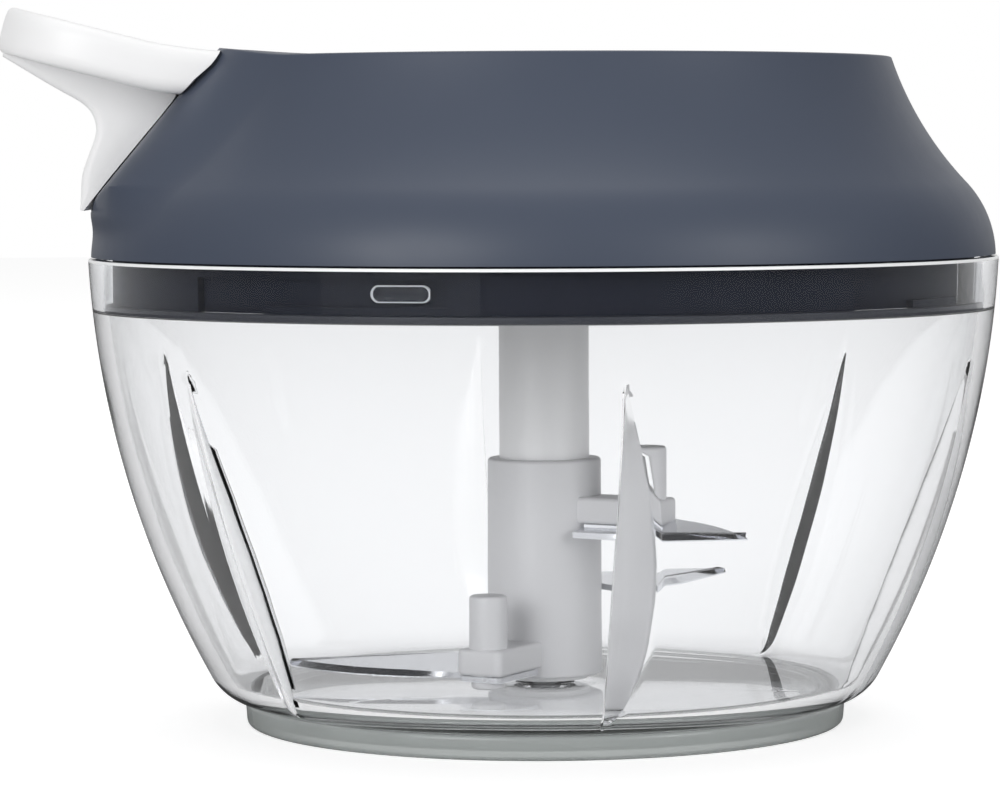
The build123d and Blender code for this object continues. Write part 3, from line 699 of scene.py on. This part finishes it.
spindleShape = {
    "postRadius": 7.5, "postBottom": 7.4, "postTop": 67.8, "socketRadius": 4.7, "socketFloor": 57.0,
    "boreRadius": 2.55, "boreTop": 24.0, "boreEdge": 23.6, "boreLow": 10.9, "bossRoom": 5.1,
    "hubRadius": 9.45, "hubBottom": 8.2, "hubTop": 44.0, "hubGap": 0.02, "hubDraft": 0.1,
    "armRoot": 8.0, "armWidth": 8.2, "armReach": 23.0, "armThickness": 4.3, "armEdge": 0.7, "armCorner": 1.2,
    "pegRadius": 3.1, "pegDistance": 19.6, "pegHeight": 8.6, "pegNeck": 2.0, "rivetRadius": 2.8, "rivetHeight": 1.3,
}
bladeShape = {
    # the bow's and the back's places are shares of the leaf's length, the others of its half width
    "thickness": 1.0, "width": 14.0, "grind": 1.3, "grindFrom": 16.0, "grindRun": 8.0, "cutEdge": 0.22, "rootGap": 0.3,
    "bow": (0.62, 1.05), "pointIn": 0.35, "backAlong": 0.5,
    "collar": 5.0, "collarFrom": 20.0, "tongueInset": (0.1, 0.2, 0.01), "tongueRoot": 9.8,
    # node, name, level, azimuth, tip's distance, tilt and the arm's azimuth
    "blades": (
        ("blade_upper", "bladeUpper", 32.6, 58.0, 40.0, 9.0, 60.0),
        ("blade_middle", "bladeMiddle", 21.6, 135.0, 42.5, 3.0, 180.0),
        ("blade_lower", "bladeLower", 9.0, -86.0, 43.5, -7.0, -28.0),
    ),
}


def postProfile():
    bore, boreTop, boreEdge, boreLow, bossRoom = valuesOf(spindleShape, "boreRadius boreTop boreEdge boreLow bossRoom")
    bottom, radius, top, socket, socketFloor = valuesOf(
        spindleShape, "postBottom postRadius postTop socketRadius socketFloor"
    )
    return softened([
        (0, boreTop, 0), (bore, boreEdge, 0.4), (bore, boreLow, 0.1), (bossRoom, boreLow, 0.1), (bossRoom, bottom, 0.1),
        (radius, bottom, 0.4), (radius, top, 0.8), (socket, top, 0.4), (socket, socketFloor, 0.1), (0, socketFloor, 0),
    ])


postGrid = turnedPoints(postProfile(), 128)
spindlePost = meshPiece("spindlePost", gridShape(postGrid), whitePlastic, "spindle")
sharpened(spindlePost, 40)
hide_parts("spindle_post")


def hubProfile():
    post, gap, outer, draft, low, high = valuesOf(spindleShape, "postRadius hubGap hubRadius hubDraft hubBottom hubTop")
    inner = post + gap
    return loopSoftened([(inner, low, 0.1), (outer + draft, low, 0.5), (outer, high, 0.7), (inner, high, 0.1)])


def armOutline(root, reach, half, corner, count):
    # plan of a bar along +X with rounded outer corners
    corners = [(root, -half, 0), (reach, -half, corner), (reach, half, corner), (root, half, 0)]
    return resampled(loopSoftened(corners), count, closed=True)


def armShape(level):
    # a flat bar carried up from the blade, rounded in plan at its outer end
    shape = spindleShape
    low = level + bladeShape["thickness"]
    outline = armOutline(shape["armRoot"], shape["armReach"], shape["armWidth"] / 2, shape["armCorner"], 96)
    return prismShape(outline, low, low + shape["armThickness"], shape["armEdge"])


def pegShape(level):
    # the peg over the arm, down through the blade to its riveted head
    shape = spindleShape
    low, rivetLow = level + bladeShape["thickness"], level - shape["rivetHeight"]
    top = low + shape["armThickness"] + shape["pegHeight"]
    peg, neck, rivet = shape["pegRadius"], shape["pegNeck"], shape["rivetRadius"]
    profile = softened([
        (0, rivetLow, 0), (rivet, rivetLow, 0.7), (rivet, level, 0.1), (neck, level, 0), (neck, low, 0),
        (peg, low, 0.1), (peg, top, 0.7), (0, top, 0),
    ])
    points, faces = gridShape(turnedPoints(profile, 48))
    return points + np.array([shape["pegDistance"], 0, 0]), faces


hubParts = [gridShape(turnedPoints(hubProfile(), 128), True)]
for _, _, level, _, _, _, armAzimuth in bladeShape["blades"]:
    hubParts += [turnedTo(shape, armAzimuth) for shape in (armShape(level), pegShape(level))]
bladeHub = sharpened(meshPiece("bladeHub", together(hubParts), shadedWhitePlastic, "spindle"), 40)
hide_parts("blade_hub")


def leafOutline(tip):
    # plan of a leaf along +X: bowed leading edge, straight back that is cut off to the tip
    root = spindleShape["hubRadius"] + bladeShape["rootGap"]
    half = bladeShape["width"] / 2
    (bowAlong, bowOut), pointIn, backAlong = valuesOf(bladeShape, "bow pointIn backAlong")
    start, point = np.array([root, half]), np.array([tip, -half * pointIn])
    lead = bent(start, np.array([root + (tip - root) * bowAlong, half * bowOut]), point, 40)
    back = np.array([[root + (tip - root) * backAlong, -half], [root, -half]])
    return resampled(np.concatenate([lead, back]), 160, closed=True)


def leafShape(level, tip, tilt):
    # the leaf's plate with a ground bevel: the upper outline is drawn in by the width of the grind
    shape = bladeShape
    outline = leafOutline(tip)
    reach = np.clip((outline[:, :1] - shape["grindFrom"]) / shape["grindRun"], 0, 1)
    bevel = outline + (inset(outline, shape["grind"]) - outline) * reach
    levels = ((outline, 0.0), (outline, shape["cutEdge"]), (bevel, shape["thickness"]))
    points, faces = cappedShape(np.stack([atLevel(loop, z) for loop, z in levels]))
    x, y, z = points.T
    rise, run = math.sin(math.radians(tilt)), math.cos(math.radians(tilt))
    return joined(x, y * run - z * rise, y * rise + z * run + level), faces


def collarShape(level, fromAzimuth, toAzimuth):
    # part of a flat ring round the hub that carries the leaf to its arm
    root, thickness = spindleShape["hubRadius"] + bladeShape["rootGap"], bladeShape["thickness"]
    outer = root + bladeShape["collar"]
    across, along = aimed(np.linspace(fromAzimuth, toAzimuth, 40))
    corners = ((root, 0.0), (outer, 0.0), (outer, thickness), (root, thickness))
    rails = [joined(r * across, r * along, level + z) for r, z in corners]
    return cappedShape(np.stack(rails, axis=1))


def tongueShape(level):
    # the blade's tongue under its arm
    aside, short, thin = bladeShape["tongueInset"]
    half, reach = spindleShape["armWidth"] / 2 - aside, spindleShape["armReach"] - short
    outline = armOutline(bladeShape["tongueRoot"], reach, half, 1.0, 64)
    return prismShape(outline, level + thin, level + bladeShape["thickness"] - thin, 0.1, 1)


for node, name, level, azimuth, tip, tilt, armAzimuth in bladeShape["blades"]:
    parts = [turnedTo(leafShape(level, tip, tilt), azimuth), turnedTo(tongueShape(level), armAzimuth)]
    if abs(armAzimuth - azimuth) > bladeShape["collarFrom"]:
        parts.append(collarShape(level, azimuth, armAzimuth))
    bladePiece = sharpened(meshPiece(name, together(parts), bladeSteel, "spindle"), 12)
    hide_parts(node)
print("spindle and blades made")

# ---- lid shell

lidShape = {
    "edgeLevel": 77.7, "shoulderRadius": 17.7, "shoulderCentre": (57.1, 77.3), "shoulderAngles": (1.3, 43.4),
    "topRadius": 57.6, "topLevel": 110.1, "topEdge": 0.9, "topInset": 4.0, "wall": 2.2, "outermost": 74.79,
    "dish": 0.5, "dishFrom": (40.0, 50.0), "lipEdge": 0.3, "lipGap": 0.02,
    "seatTop": (-52.5, 111.9), "seatLow": (-72.1, 88.3), "seatToe": (-74.5, 84.7), "seatHalfWidth": 31.5,
    "toeRun": (3.0, 0.3), "topRun": 5.0, "seatBow": 2.6, "seatBlend": (28.5, 42.0), "seatFade": 1.5,
    # the top rises towards the seat, and its edge is crowned over it
    "rise": 1.8, "riseStart": -32.5, "riseRun": 20.0, "riseLevels": (6.0, 1.5), "crown": 0.9,
    "shoulderRows": 20, "flankRows": 46, "discRows": 34, "roofRows": 11, "columns": (30, 26, 100),
    "boreRadius": 3.02, "boreEnds": (-80.0, -56.0), "boreLevel": 96.0,
}


def lidFlank(depth):
    # the turned flank: a round shoulder, then a hollow arc up to the top's edge
    shape = lidShape
    first, last = np.radians(shape["shoulderAngles"])
    angle = np.linspace(first, last, shape["shoulderRows"])
    shoulder = np.array(shape["shoulderCentre"]) + (shape["shoulderRadius"] - depth) * circle(angle)
    start = shoulder[-1]
    end = np.array([shape["topRadius"] - depth, shape["topLevel"] - depth])
    # the circle that leaves start square to the shoulder's last radius and goes through end
    chord, side = end - start, circle(last)
    radius = chord @ chord / (2 * (chord @ side))
    centre = start + side * radius
    first, last = np.arctan2(*(start - centre)[::-1]), np.arctan2(*(end - centre)[::-1])
    # the shorter way round
    last = first + (last - first + math.pi) % math.tau - math.pi
    sweep = np.linspace(first, last, shape["flankRows"])[1:]
    return np.concatenate([shoulder, centre + abs(radius) * circle(sweep)])


def smoothStep(value, low, high):
    share = np.clip((value - low) / (high - low), 0, 1)
    return share * share * (3 - 2 * share)


def seatX(level):
    # where the flat seat stands at a level
    (topX, topZ), (lowX, lowZ), (toeX, toeZ) = valuesOf(lidShape, "seatTop seatLow seatToe")
    (down, out), up = valuesOf(lidShape, "toeRun topRun")
    pastTop = topX + up * (topX - lowX) / (topZ - lowZ)
    return np.interp(level, [toeZ - down, toeZ, lowZ, topZ, topZ + up], [toeX - out, toeX, lowX, topX, pastTop])


def seatBow(across):
    # the seat falls back towards its sides
    return lidShape["seatBow"] * (across / lidShape["seatHalfWidth"]) ** 4


def seatColumns(plane, radius):
    # azimuths of every row: a fan over the seat, its rounded sides and the turned rest, the same on both hands
    low, high = lidShape["seatBlend"]
    fanEnd = np.arctan(low / plane)
    sideEnd = np.maximum(np.arcsin(np.minimum(high / np.maximum(radius, 1.0), 1.0)), fanEnd + 0.03)
    ends = (0 * fanEnd, fanEnd, sideEnd, 0 * fanEnd + math.pi)
    shares = [np.linspace(0, 1, count + 1)[:-1] for count in lidShape["columns"]]
    shares[-1] = np.append(shares[-1], 1.0)
    half = np.concatenate([start + share * (end - start) for share, start, end in zip(shares, ends, ends[1:])], axis=1)
    onSeat = np.concatenate([1 + 0 * shares[0], 1 - smoothStep(shares[1], 0, 1), 0 * shares[2]])
    return np.concatenate([half, -half[:, -2:0:-1]], axis=1), np.concatenate([onSeat, onSeat[-2:0:-1]]), fanEnd


def lidPoints():
    # flank, rounded top edge and top, turned round the axis, with a flat slanted seat on the -X side
    shape = lidShape
    topRadius, topLevel, wall, rise = valuesOf(shape, "topRadius topLevel wall rise")
    flank, inner = lidFlank(0.0), lidFlank(wall)[::-1]
    topEnd = topRadius - shape["topInset"]
    top = softened([(*flank[-2], 0), (*flank[-1], shape["topEdge"]), (topEnd, topLevel, 0)], 6)
    across = np.linspace(topEnd - 0.5, 0, shape["discRows"])
    dishInner, dishOuter = shape["dishFrom"]
    disc = joined(across, topLevel - shape["dish"] * smoothStep(-across, -dishOuter, -dishInner))
    roof = atLevel(np.linspace(0, inner[0, 0], shape["roofRows"] + 1)[:-1, None], topLevel - wall)
    lip = softened([
        (*inner[-1], 0), (inner[-1, 0], shape["edgeLevel"], 0),
        (flank[0, 0] - shape["lipGap"], shape["edgeLevel"], shape["lipEdge"]), (*flank[0], 0),
    ], 3)
    profile = np.concatenate([flank[:-2], top, disc, roof, inner, lip[1:-1]])
    radius, level = profile[:, :1], profile[:, 1:]
    row = np.arange(len(profile))[:, None]
    edgeRow = len(flank[:-2]) + len(top)
    onFlank, outside = row < edgeRow, row < edgeRow + len(disc)
    riseLow, riseHigh = (topLevel - under for under in shape["riseLevels"])
    atTop = smoothStep(level, riseLow, riseHigh)
    angle, onSeat, fanEnd = seatColumns(-seatX(level + rise * atTop), radius)
    onSeat = onSeat * smoothStep(level, shape["edgeLevel"] + shape["seatFade"], shape["seatToe"][1])
    within = np.minimum(np.abs(angle), fanEnd)
    flat = -seatX(level + rise * atTop * onSeat)
    across = flat * np.tan(within)
    crowned = rise - shape["crown"] * (across / shape["seatHalfWidth"]) ** 2
    plane = (flat - seatBow(across)) / np.cos(within)
    seatReach = np.minimum(plane, np.maximum(radius, shape["outermost"]))
    flankReach = radius + onSeat * (seatReach - radius)
    discReach = radius * (1 + onSeat * (plane / topRadius - 1) * smoothStep(radius, 0, topRadius))
    innerReach = radius + onSeat * (np.minimum(seatReach - wall, radius) - radius)
    reach = np.where(onFlank, flankReach, np.where(outside, discReach, innerReach))
    x, y = -reach * np.cos(angle), reach * np.sin(angle)
    discRise = crowned * np.clip((shape["riseStart"] - x) / shape["riseRun"], 0, 1) * onSeat
    lifted = np.where(onFlank, crowned * atTop * onSeat, np.where(outside, discRise, 0.0))
    return joined(x, y, level + lifted)


def bored(piece, radius, ends, level):
    # a round hole along X through the piece, cut by a rod that is removed again
    rod = bpy.data.meshes.new("boreRod")
    work = bmesh.new()
    length = (ends[1] - ends[0]) * mm
    bmesh.ops.create_cone(work, cap_ends=True, segments=64, radius1=radius * mm, radius2=radius * mm, depth=length)
    middle = Vector((sum(ends) / 2, 0, level)) * mm
    work.transform(Matrix.Translation(middle) @ Matrix.Rotation(math.pi / 2, 4, "Y"))
    work.to_mesh(rod)
    work.free()
    holder = placed("boreRod", rod)
    cut = piece.modifiers.new("bore", "BOOLEAN")
    cut.operation = "DIFFERENCE"
    cut.object = holder
    cut.solver = "EXACT"
    done = bpy.data.meshes.new_from_object(piece.evaluated_get(bpy.context.evaluated_depsgraph_get()))
    piece.modifiers.remove(cut)
    piece.data = done
    bpy.data.objects.remove(holder)
    return piece


lidShell = meshPiece("lidShell", gridShape(lidPoints(), True), slatePlastic, "lid")
bored(lidShell, lidShape["boreRadius"], lidShape["boreEnds"], lidShape["boreLevel"])
sharpened(lidShell, 30)
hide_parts("lid_shell")
print("lid shell made")

# ---- pull handle

handleShape = {
    "halfWidth": 30.0, "thickness": 7.6, "tipCorner": 20.0, "tipPower": 2.5, "tipRound": 2.6, "edge": 2.2,
    "seatGap": 0.35, "path": ((-50.0, 107.9), (-60.4, 108.0), (-88.8, 115.25)), "bend": 4.0, "rootFrom": -64.0,
    "wingRows": (26, 22), "stemRows": 90, "stemHalfWidth": 17.0, "stemEdge": 1.6, "faceBend": 2.4, "backBend": 0.8,
    "stemFace": (
        (-75.05, 85.5), (-75.05, 91.0), (-73.7, 94.6), (-72.3, 98.2), (-72.9, 101.0), (-74.6, 102.9),
        (-78.9, 105.2), (-87.5, 110.4),
    ),
    "stemBack": (
        (-74.75, 85.4), (-70.6, 90.6), (-67.5, 94.3), (-64.4, 98.0), (-62.0, 100.8), (-59.3, 104.2),
        (-66.0, 109.0), (-86.4, 114.0),
    ),
}


def roundedLoop(halfWide, halfHigh, corner, steps=6):
    # a rounded rectangle as a closed loop of (across, up) points
    arc = circle(np.linspace(0, math.pi / 2, steps + 1)) * corner
    quarter = arc + [halfWide - corner, halfHigh - corner]
    return np.concatenate([quarter, quarter[::-1] * [-1, 1], -quarter, quarter[::-1] * [1, -1]])


def wingPoints():
    # rounded rectangles carried from the seat to the tip, narrower round the plan's corners and thinner over the lip
    shape = handleShape
    tipCorner, power, tipRound, halfWidth, gap = valuesOf(shape, "tipCorner tipPower tipRound halfWidth seatGap")
    root, bend, tip = shape["path"]
    path = resampled(softened([(*root, 0), (*bend, shape["bend"]), (*tip, 0)], 10), 120)
    length = reachAlong(path)[-1]
    seatAt = np.argmin(np.abs(path[:, 0] - (seatX(path[:, 1]) - gap)))
    evenRows, tipRows = shape["wingRows"]
    tipFrom = 1 - tipCorner / length
    even = np.linspace(seatAt / (len(path) - 1), tipFrom, evenRows)[:-1]
    share = np.concatenate([even, 1 - (1 - tipFrom) * (1 - np.sin(np.linspace(0, math.pi / 2, tipRows)))])
    centre = alongLine(path, share)
    ahead, behind = (alongLine(path, np.clip(share + step, 0, 1)) for step in (0.01, -0.01))
    heading = unit(ahead - behind)
    up = joined(heading[:, 1], -heading[:, 0])
    up *= np.sign(up[:, 1])[:, None]
    left = (1 - share) * length
    into = np.clip(tipCorner - left, 0, tipCorner)
    wide = halfWidth * np.maximum(1 - (into / tipCorner) ** power, 0.003) ** (1 / power)
    over = np.clip(tipRound - left, 0, tipRound)
    high = shape["thickness"] / 2 - tipRound + np.sqrt(np.maximum(tipRound ** 2 - over ** 2, 0))
    loops = []
    for c, n, w, t in zip(centre, up, wide, high):
        across, raised = roundedLoop(w, t, min(shape["edge"], t * 0.95, w * 0.95)).T
        x, level = c[:, None] + raised * n[:, None]
        near = smoothStep(c[0], shape["rootFrom"], centre[0, 0])
        onSeat = seatX(level) + seatBow(across) - gap
        crown = near * lidShape["crown"] * (across / halfWidth) ** 2 * (raised > 0)
        loops.append(joined(x + near * (onSeat - centre[0, 0]), across, level - crown))
    return np.stack(loops)


def stemPoints():
    # loops from the stem's outer face back to the seat, and under the wing back into it
    shape = handleShape
    share = np.linspace(0, 1, shape["stemRows"])
    face, back = (
        alongLine(softened([(*corner, shape[bend]) for corner in shape[line]], 6), share)
        for line, bend in (("stemFace", "faceBend"), ("stemBack", "backBend"))
    )
    half = shape["stemHalfWidth"]
    angle = np.linspace(0, math.pi / 2, 6)
    loops = []
    for outer, inner in zip(face, back):
        away = inner - outer
        size = np.linalg.norm(away)
        corner = min(shape["stemEdge"], size * 0.45)
        aside = np.append(half, half - corner * (1 - np.sin(angle[::-1])))
        depth = np.append(size, corner * (1 - np.cos(angle[::-1])))
        sideways, inwards = np.append(aside, -aside[::-1]), np.append(depth, depth[::-1])
        point = outer + away / size * inwards[:, None]
        point[[0, -1], 0] += seatBow(half)
        loops.append(joined(point[:, 0], sideways, point[:, 1]))
    return np.stack(loops)


def handlePiece(name, points):
    return sharpened(meshPiece(name, cappedShape(points), handlePlastic, "handle"), 40)


pullHandle = handlePiece("pullHandle", wingPoints())
handleStem = handlePiece("handleStem", stemPoints())
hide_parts("pull_handle")
print("handle made")

# ---- pull cord

cordShape = {
    "radius": 0.8, "turnRadius": 19.5, "level": 96.0, "guideX": -58.2, "bend": 3.0, "endX": -67.9, "rowStep": 0.35,
    "columns": 16, "woundLevels": (92.35, 94.3), "woundPitch": 1.65,
}


def cordRoute():
    # half a turn on the drum, the run to the guide, a bend there and the end that the handle draws
    shape = cordShape
    leave = math.pi - math.acos(shape["turnRadius"] / -shape["guideX"])
    turn = shape["turnRadius"] * circle(np.linspace(leave - math.pi, leave, 60))
    guide, end = (shape["guideX"], 0.0, shape["bend"]), (shape["endX"], 0.0, 0)
    line = softened([(*turn[-2], 0), (*turn[-1], 0), guide, end], 10)
    return atLevel(np.concatenate([turn[:-2], line]), shape["level"])


def woundRoute():
    # the turns stored in the drum's groove
    low, high = cordShape["woundLevels"]
    angle = np.linspace(0, (high - low) / cordShape["woundPitch"] * math.tau, 200)
    return np.column_stack([cordShape["turnRadius"] * circle(angle), np.linspace(low, high, len(angle))])


def cordPiece(name, route, body):
    # a round tube along the route, with a map of (metres along, share round) for the braid
    shape = cordShape
    path = resampled(route, int(reachAlong(route)[-1] / shape["rowStep"]))
    heading = unit(np.gradient(path, axis=0))
    side = unit(np.cross(heading, [0.0, 0.0, 1.0]))
    rise = np.cross(side, heading)
    cosine, sine = circle(np.linspace(0, math.tau, shape["columns"], endpoint=False)).T[:, None, :, None]
    points = path[:, None] + shape["radius"] * (cosine * side[:, None] + sine * rise[:, None])
    piece = meshPiece(name, cappedShape(points), cordBraid, body)
    mapAlong(piece.data, shape["columns"], shape["rowStep"] * mm)
    return sharpened(piece, 50)


def mapAlong(mesh, columns, step):
    # (along, round) at every corner; the faces that close the round end at 1
    corner = np.empty(len(mesh.loops), int)
    mesh.loops.foreach_get("vertex_index", corner)
    sides = np.empty(len(mesh.polygons), int)
    mesh.polygons.foreach_get("loop_total", sides)
    row, column = np.divmod(corner, columns)
    first = np.concatenate([[0], np.cumsum(sides)[:-1]])
    closing = np.repeat(np.maximum.reduceat(column, first) == columns - 1, sides)
    round_ = np.where(closing & (column == 0), columns, column) / columns
    layer = mesh.uv_layers.new(name="alongRound")
    layer.data.foreach_set("uv", np.column_stack([row * step, round_]).astype(np.float32).ravel())


cordRun = cordPiece("cordRun", cordRoute(), None)
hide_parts("pull_cord")
cordTurns = cordPiece("cordTurns", woundRoute(), "drum")
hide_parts("cord_winding")
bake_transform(cordRun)
print("cord made")

# ---- finishes of the CAD nodes that stay

nodeFinishes = (
    (pinSteel, "pivot_pin shell_screws bridge_screws ratchet_wheel drum_washer pawl_1 pawl_2 pawl_pins"),
    (springSteel, "shaft_clip pawl_springs recoil_spring"),
    (whitePlastic, "cord_guide drive_shaft cord_drum"),
    (charcoalPlastic, "lid_base drive_bridge"),
    (handlePlastic, "handle_plug cord_knot"),
    (bushBrass, "drive_bush"),
)
for finish, nodes in nodeFinishes:
    for node in nodes.split():
        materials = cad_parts[node].data.materials
        materials.clear()
        materials.append(finish)
print("nodes finished")

# ---- floor, light and camera

studio = {
    "floorSize": 3.0, "floorColour": 0.80, "mirroredFloor": 0.16, "shownFloor": 0.62, "floorGlow": 0.66, "soft": 0.46,
    "room": 0.06, "ceiling": 0.36, "wall": 0.64, "wallFrom": 0.55, "wallSoft": 0.35, "aim": (0, 0, 0.05),
    "lamps": (
        # name, place, size, power
        ("keyLamp", (-0.9, -1.4, 0.55), 1.0, 12.0),
        ("fillLamp", (1.3, -1.1, 0.50), 1.0, 7.5),
        ("topLamp", (0.0, 0.3, 1.6), 1.4, 8.0),
    ),
}


def seenRays(graph):
    # 1 where the camera looks, also through clear plastic, and 1 where a smooth surface mirrors
    names = ("Is Camera Ray", "Is Transmission Ray", "Is Glossy Ray")
    camera, through, mirrored = graph.outputs("ShaderNodeLightPath", names)
    return camera.calc("MAXIMUM", through), mirrored


def makeFloor():
    half = studio["floorSize"]
    mesh = bpy.data.meshes.new("floor")
    mesh.from_pydata([(-half, -half, 0), (half, -half, 0), (half, half, 0), (-half, half, 0)], [], [(0, 1, 2, 3)])
    floor = placed("floor", mesh)
    graph = Graph(bpy.data.materials.new("paleFloor"))
    shown, mirrored = seenRays(graph)
    greys = [(studio[key],) * 3 for key in ("floorColour", "mirroredFloor", "shownFloor")]
    matte = graph.add("ShaderNodeBsdfDiffuse", {}, {"Color": graph.mixed(mirrored, greys[0], greys[1])})
    shownMatte = graph.add("ShaderNodeBsdfDiffuse", {}, {"Color": colour4(greys[2])})
    glow = graph.add("ShaderNodeEmission", {}, {"Color": (1, 1, 1, 1), "Strength": studio["floorGlow"]})
    shownFloor = graph.add("ShaderNodeAddShader", {}, {0: shownMatte, 1: glow})
    both = graph.add("ShaderNodeMixShader", {}, {0: shown, 1: matte, 2: shownFloor})
    graph.add("ShaderNodeOutputMaterial", {}, {"Surface": both})
    mesh.materials.append(graph.owner)


def makeWorld():
    # white where the camera looks past the object, mirrored as a bright wall behind it and a dim room before it
    world = bpy.data.worlds.new("paleWorld")
    bpy.context.scene.world = world
    graph = Graph(world)
    shown, mirrored = seenRays(graph)
    where = graph.add("ShaderNodeTexCoord", out=0)
    towardsBack, upwards = graph.outputs("ShaderNodeSeparateXYZ", (1, 2), {"Vector": where})
    wall = ((towardsBack - studio["wallFrom"]) / studio["wallSoft"]).clipped() * studio["wall"]
    room = upwards.clipped() * studio["ceiling"] + wall + studio["room"]
    unseen = mirrored * room + (1.0 - mirrored) * studio["soft"]
    strength = shown + (1.0 - shown) * unseen
    light = graph.add("ShaderNodeBackground", {}, {"Color": (1, 1, 1, 1), "Strength": strength})
    graph.add("ShaderNodeOutputWorld", {}, {"Surface": light})


def makeLamps():
    for name, place, size, power in studio["lamps"]:
        lamp = bpy.data.lights.new(name, "AREA")
        lamp.shape = "DISK"
        lamp.size = size
        lamp.energy = power
        holder = placed(name, lamp)
        away = Vector(place) - Vector(studio["aim"])
        holder.matrix_world = Matrix.Translation(place) @ away.to_track_quat("Z", "Y").to_matrix().to_4x4()


cameraView = {
    "distance": 0.6913, "height": 0.09526, "pitch": 3.455, "roll": 0.23, "focal": 4155.6, "sideways": 44.0,
    "width": 1000.0, "sensor": 36.0,
}


def makeCamera():
    # the photo's camera: focal length and sideways shift are in the photo's pixels
    view = cameraView
    camera = bpy.data.cameras.new("photoCamera")
    camera.sensor_width = view["sensor"]
    camera.lens = view["focal"] * view["sensor"] / view["width"]
    camera.shift_x = -view["sideways"] / view["width"]
    holder = placed("photoCamera", camera)
    tilt = Matrix.Rotation(math.radians(90.0 - view["pitch"]), 4, "X")
    roll = Matrix.Rotation(-math.radians(view["roll"]), 4, "Z")
    holder.matrix_world = Matrix.Translation((0, -view["distance"], view["height"])) @ tilt @ roll
    bpy.context.scene.camera = holder


makeFloor()
makeWorld()
makeLamps()
makeCamera()
bpy.context.scene.view_settings.view_transform = "Standard"
print("studio made")
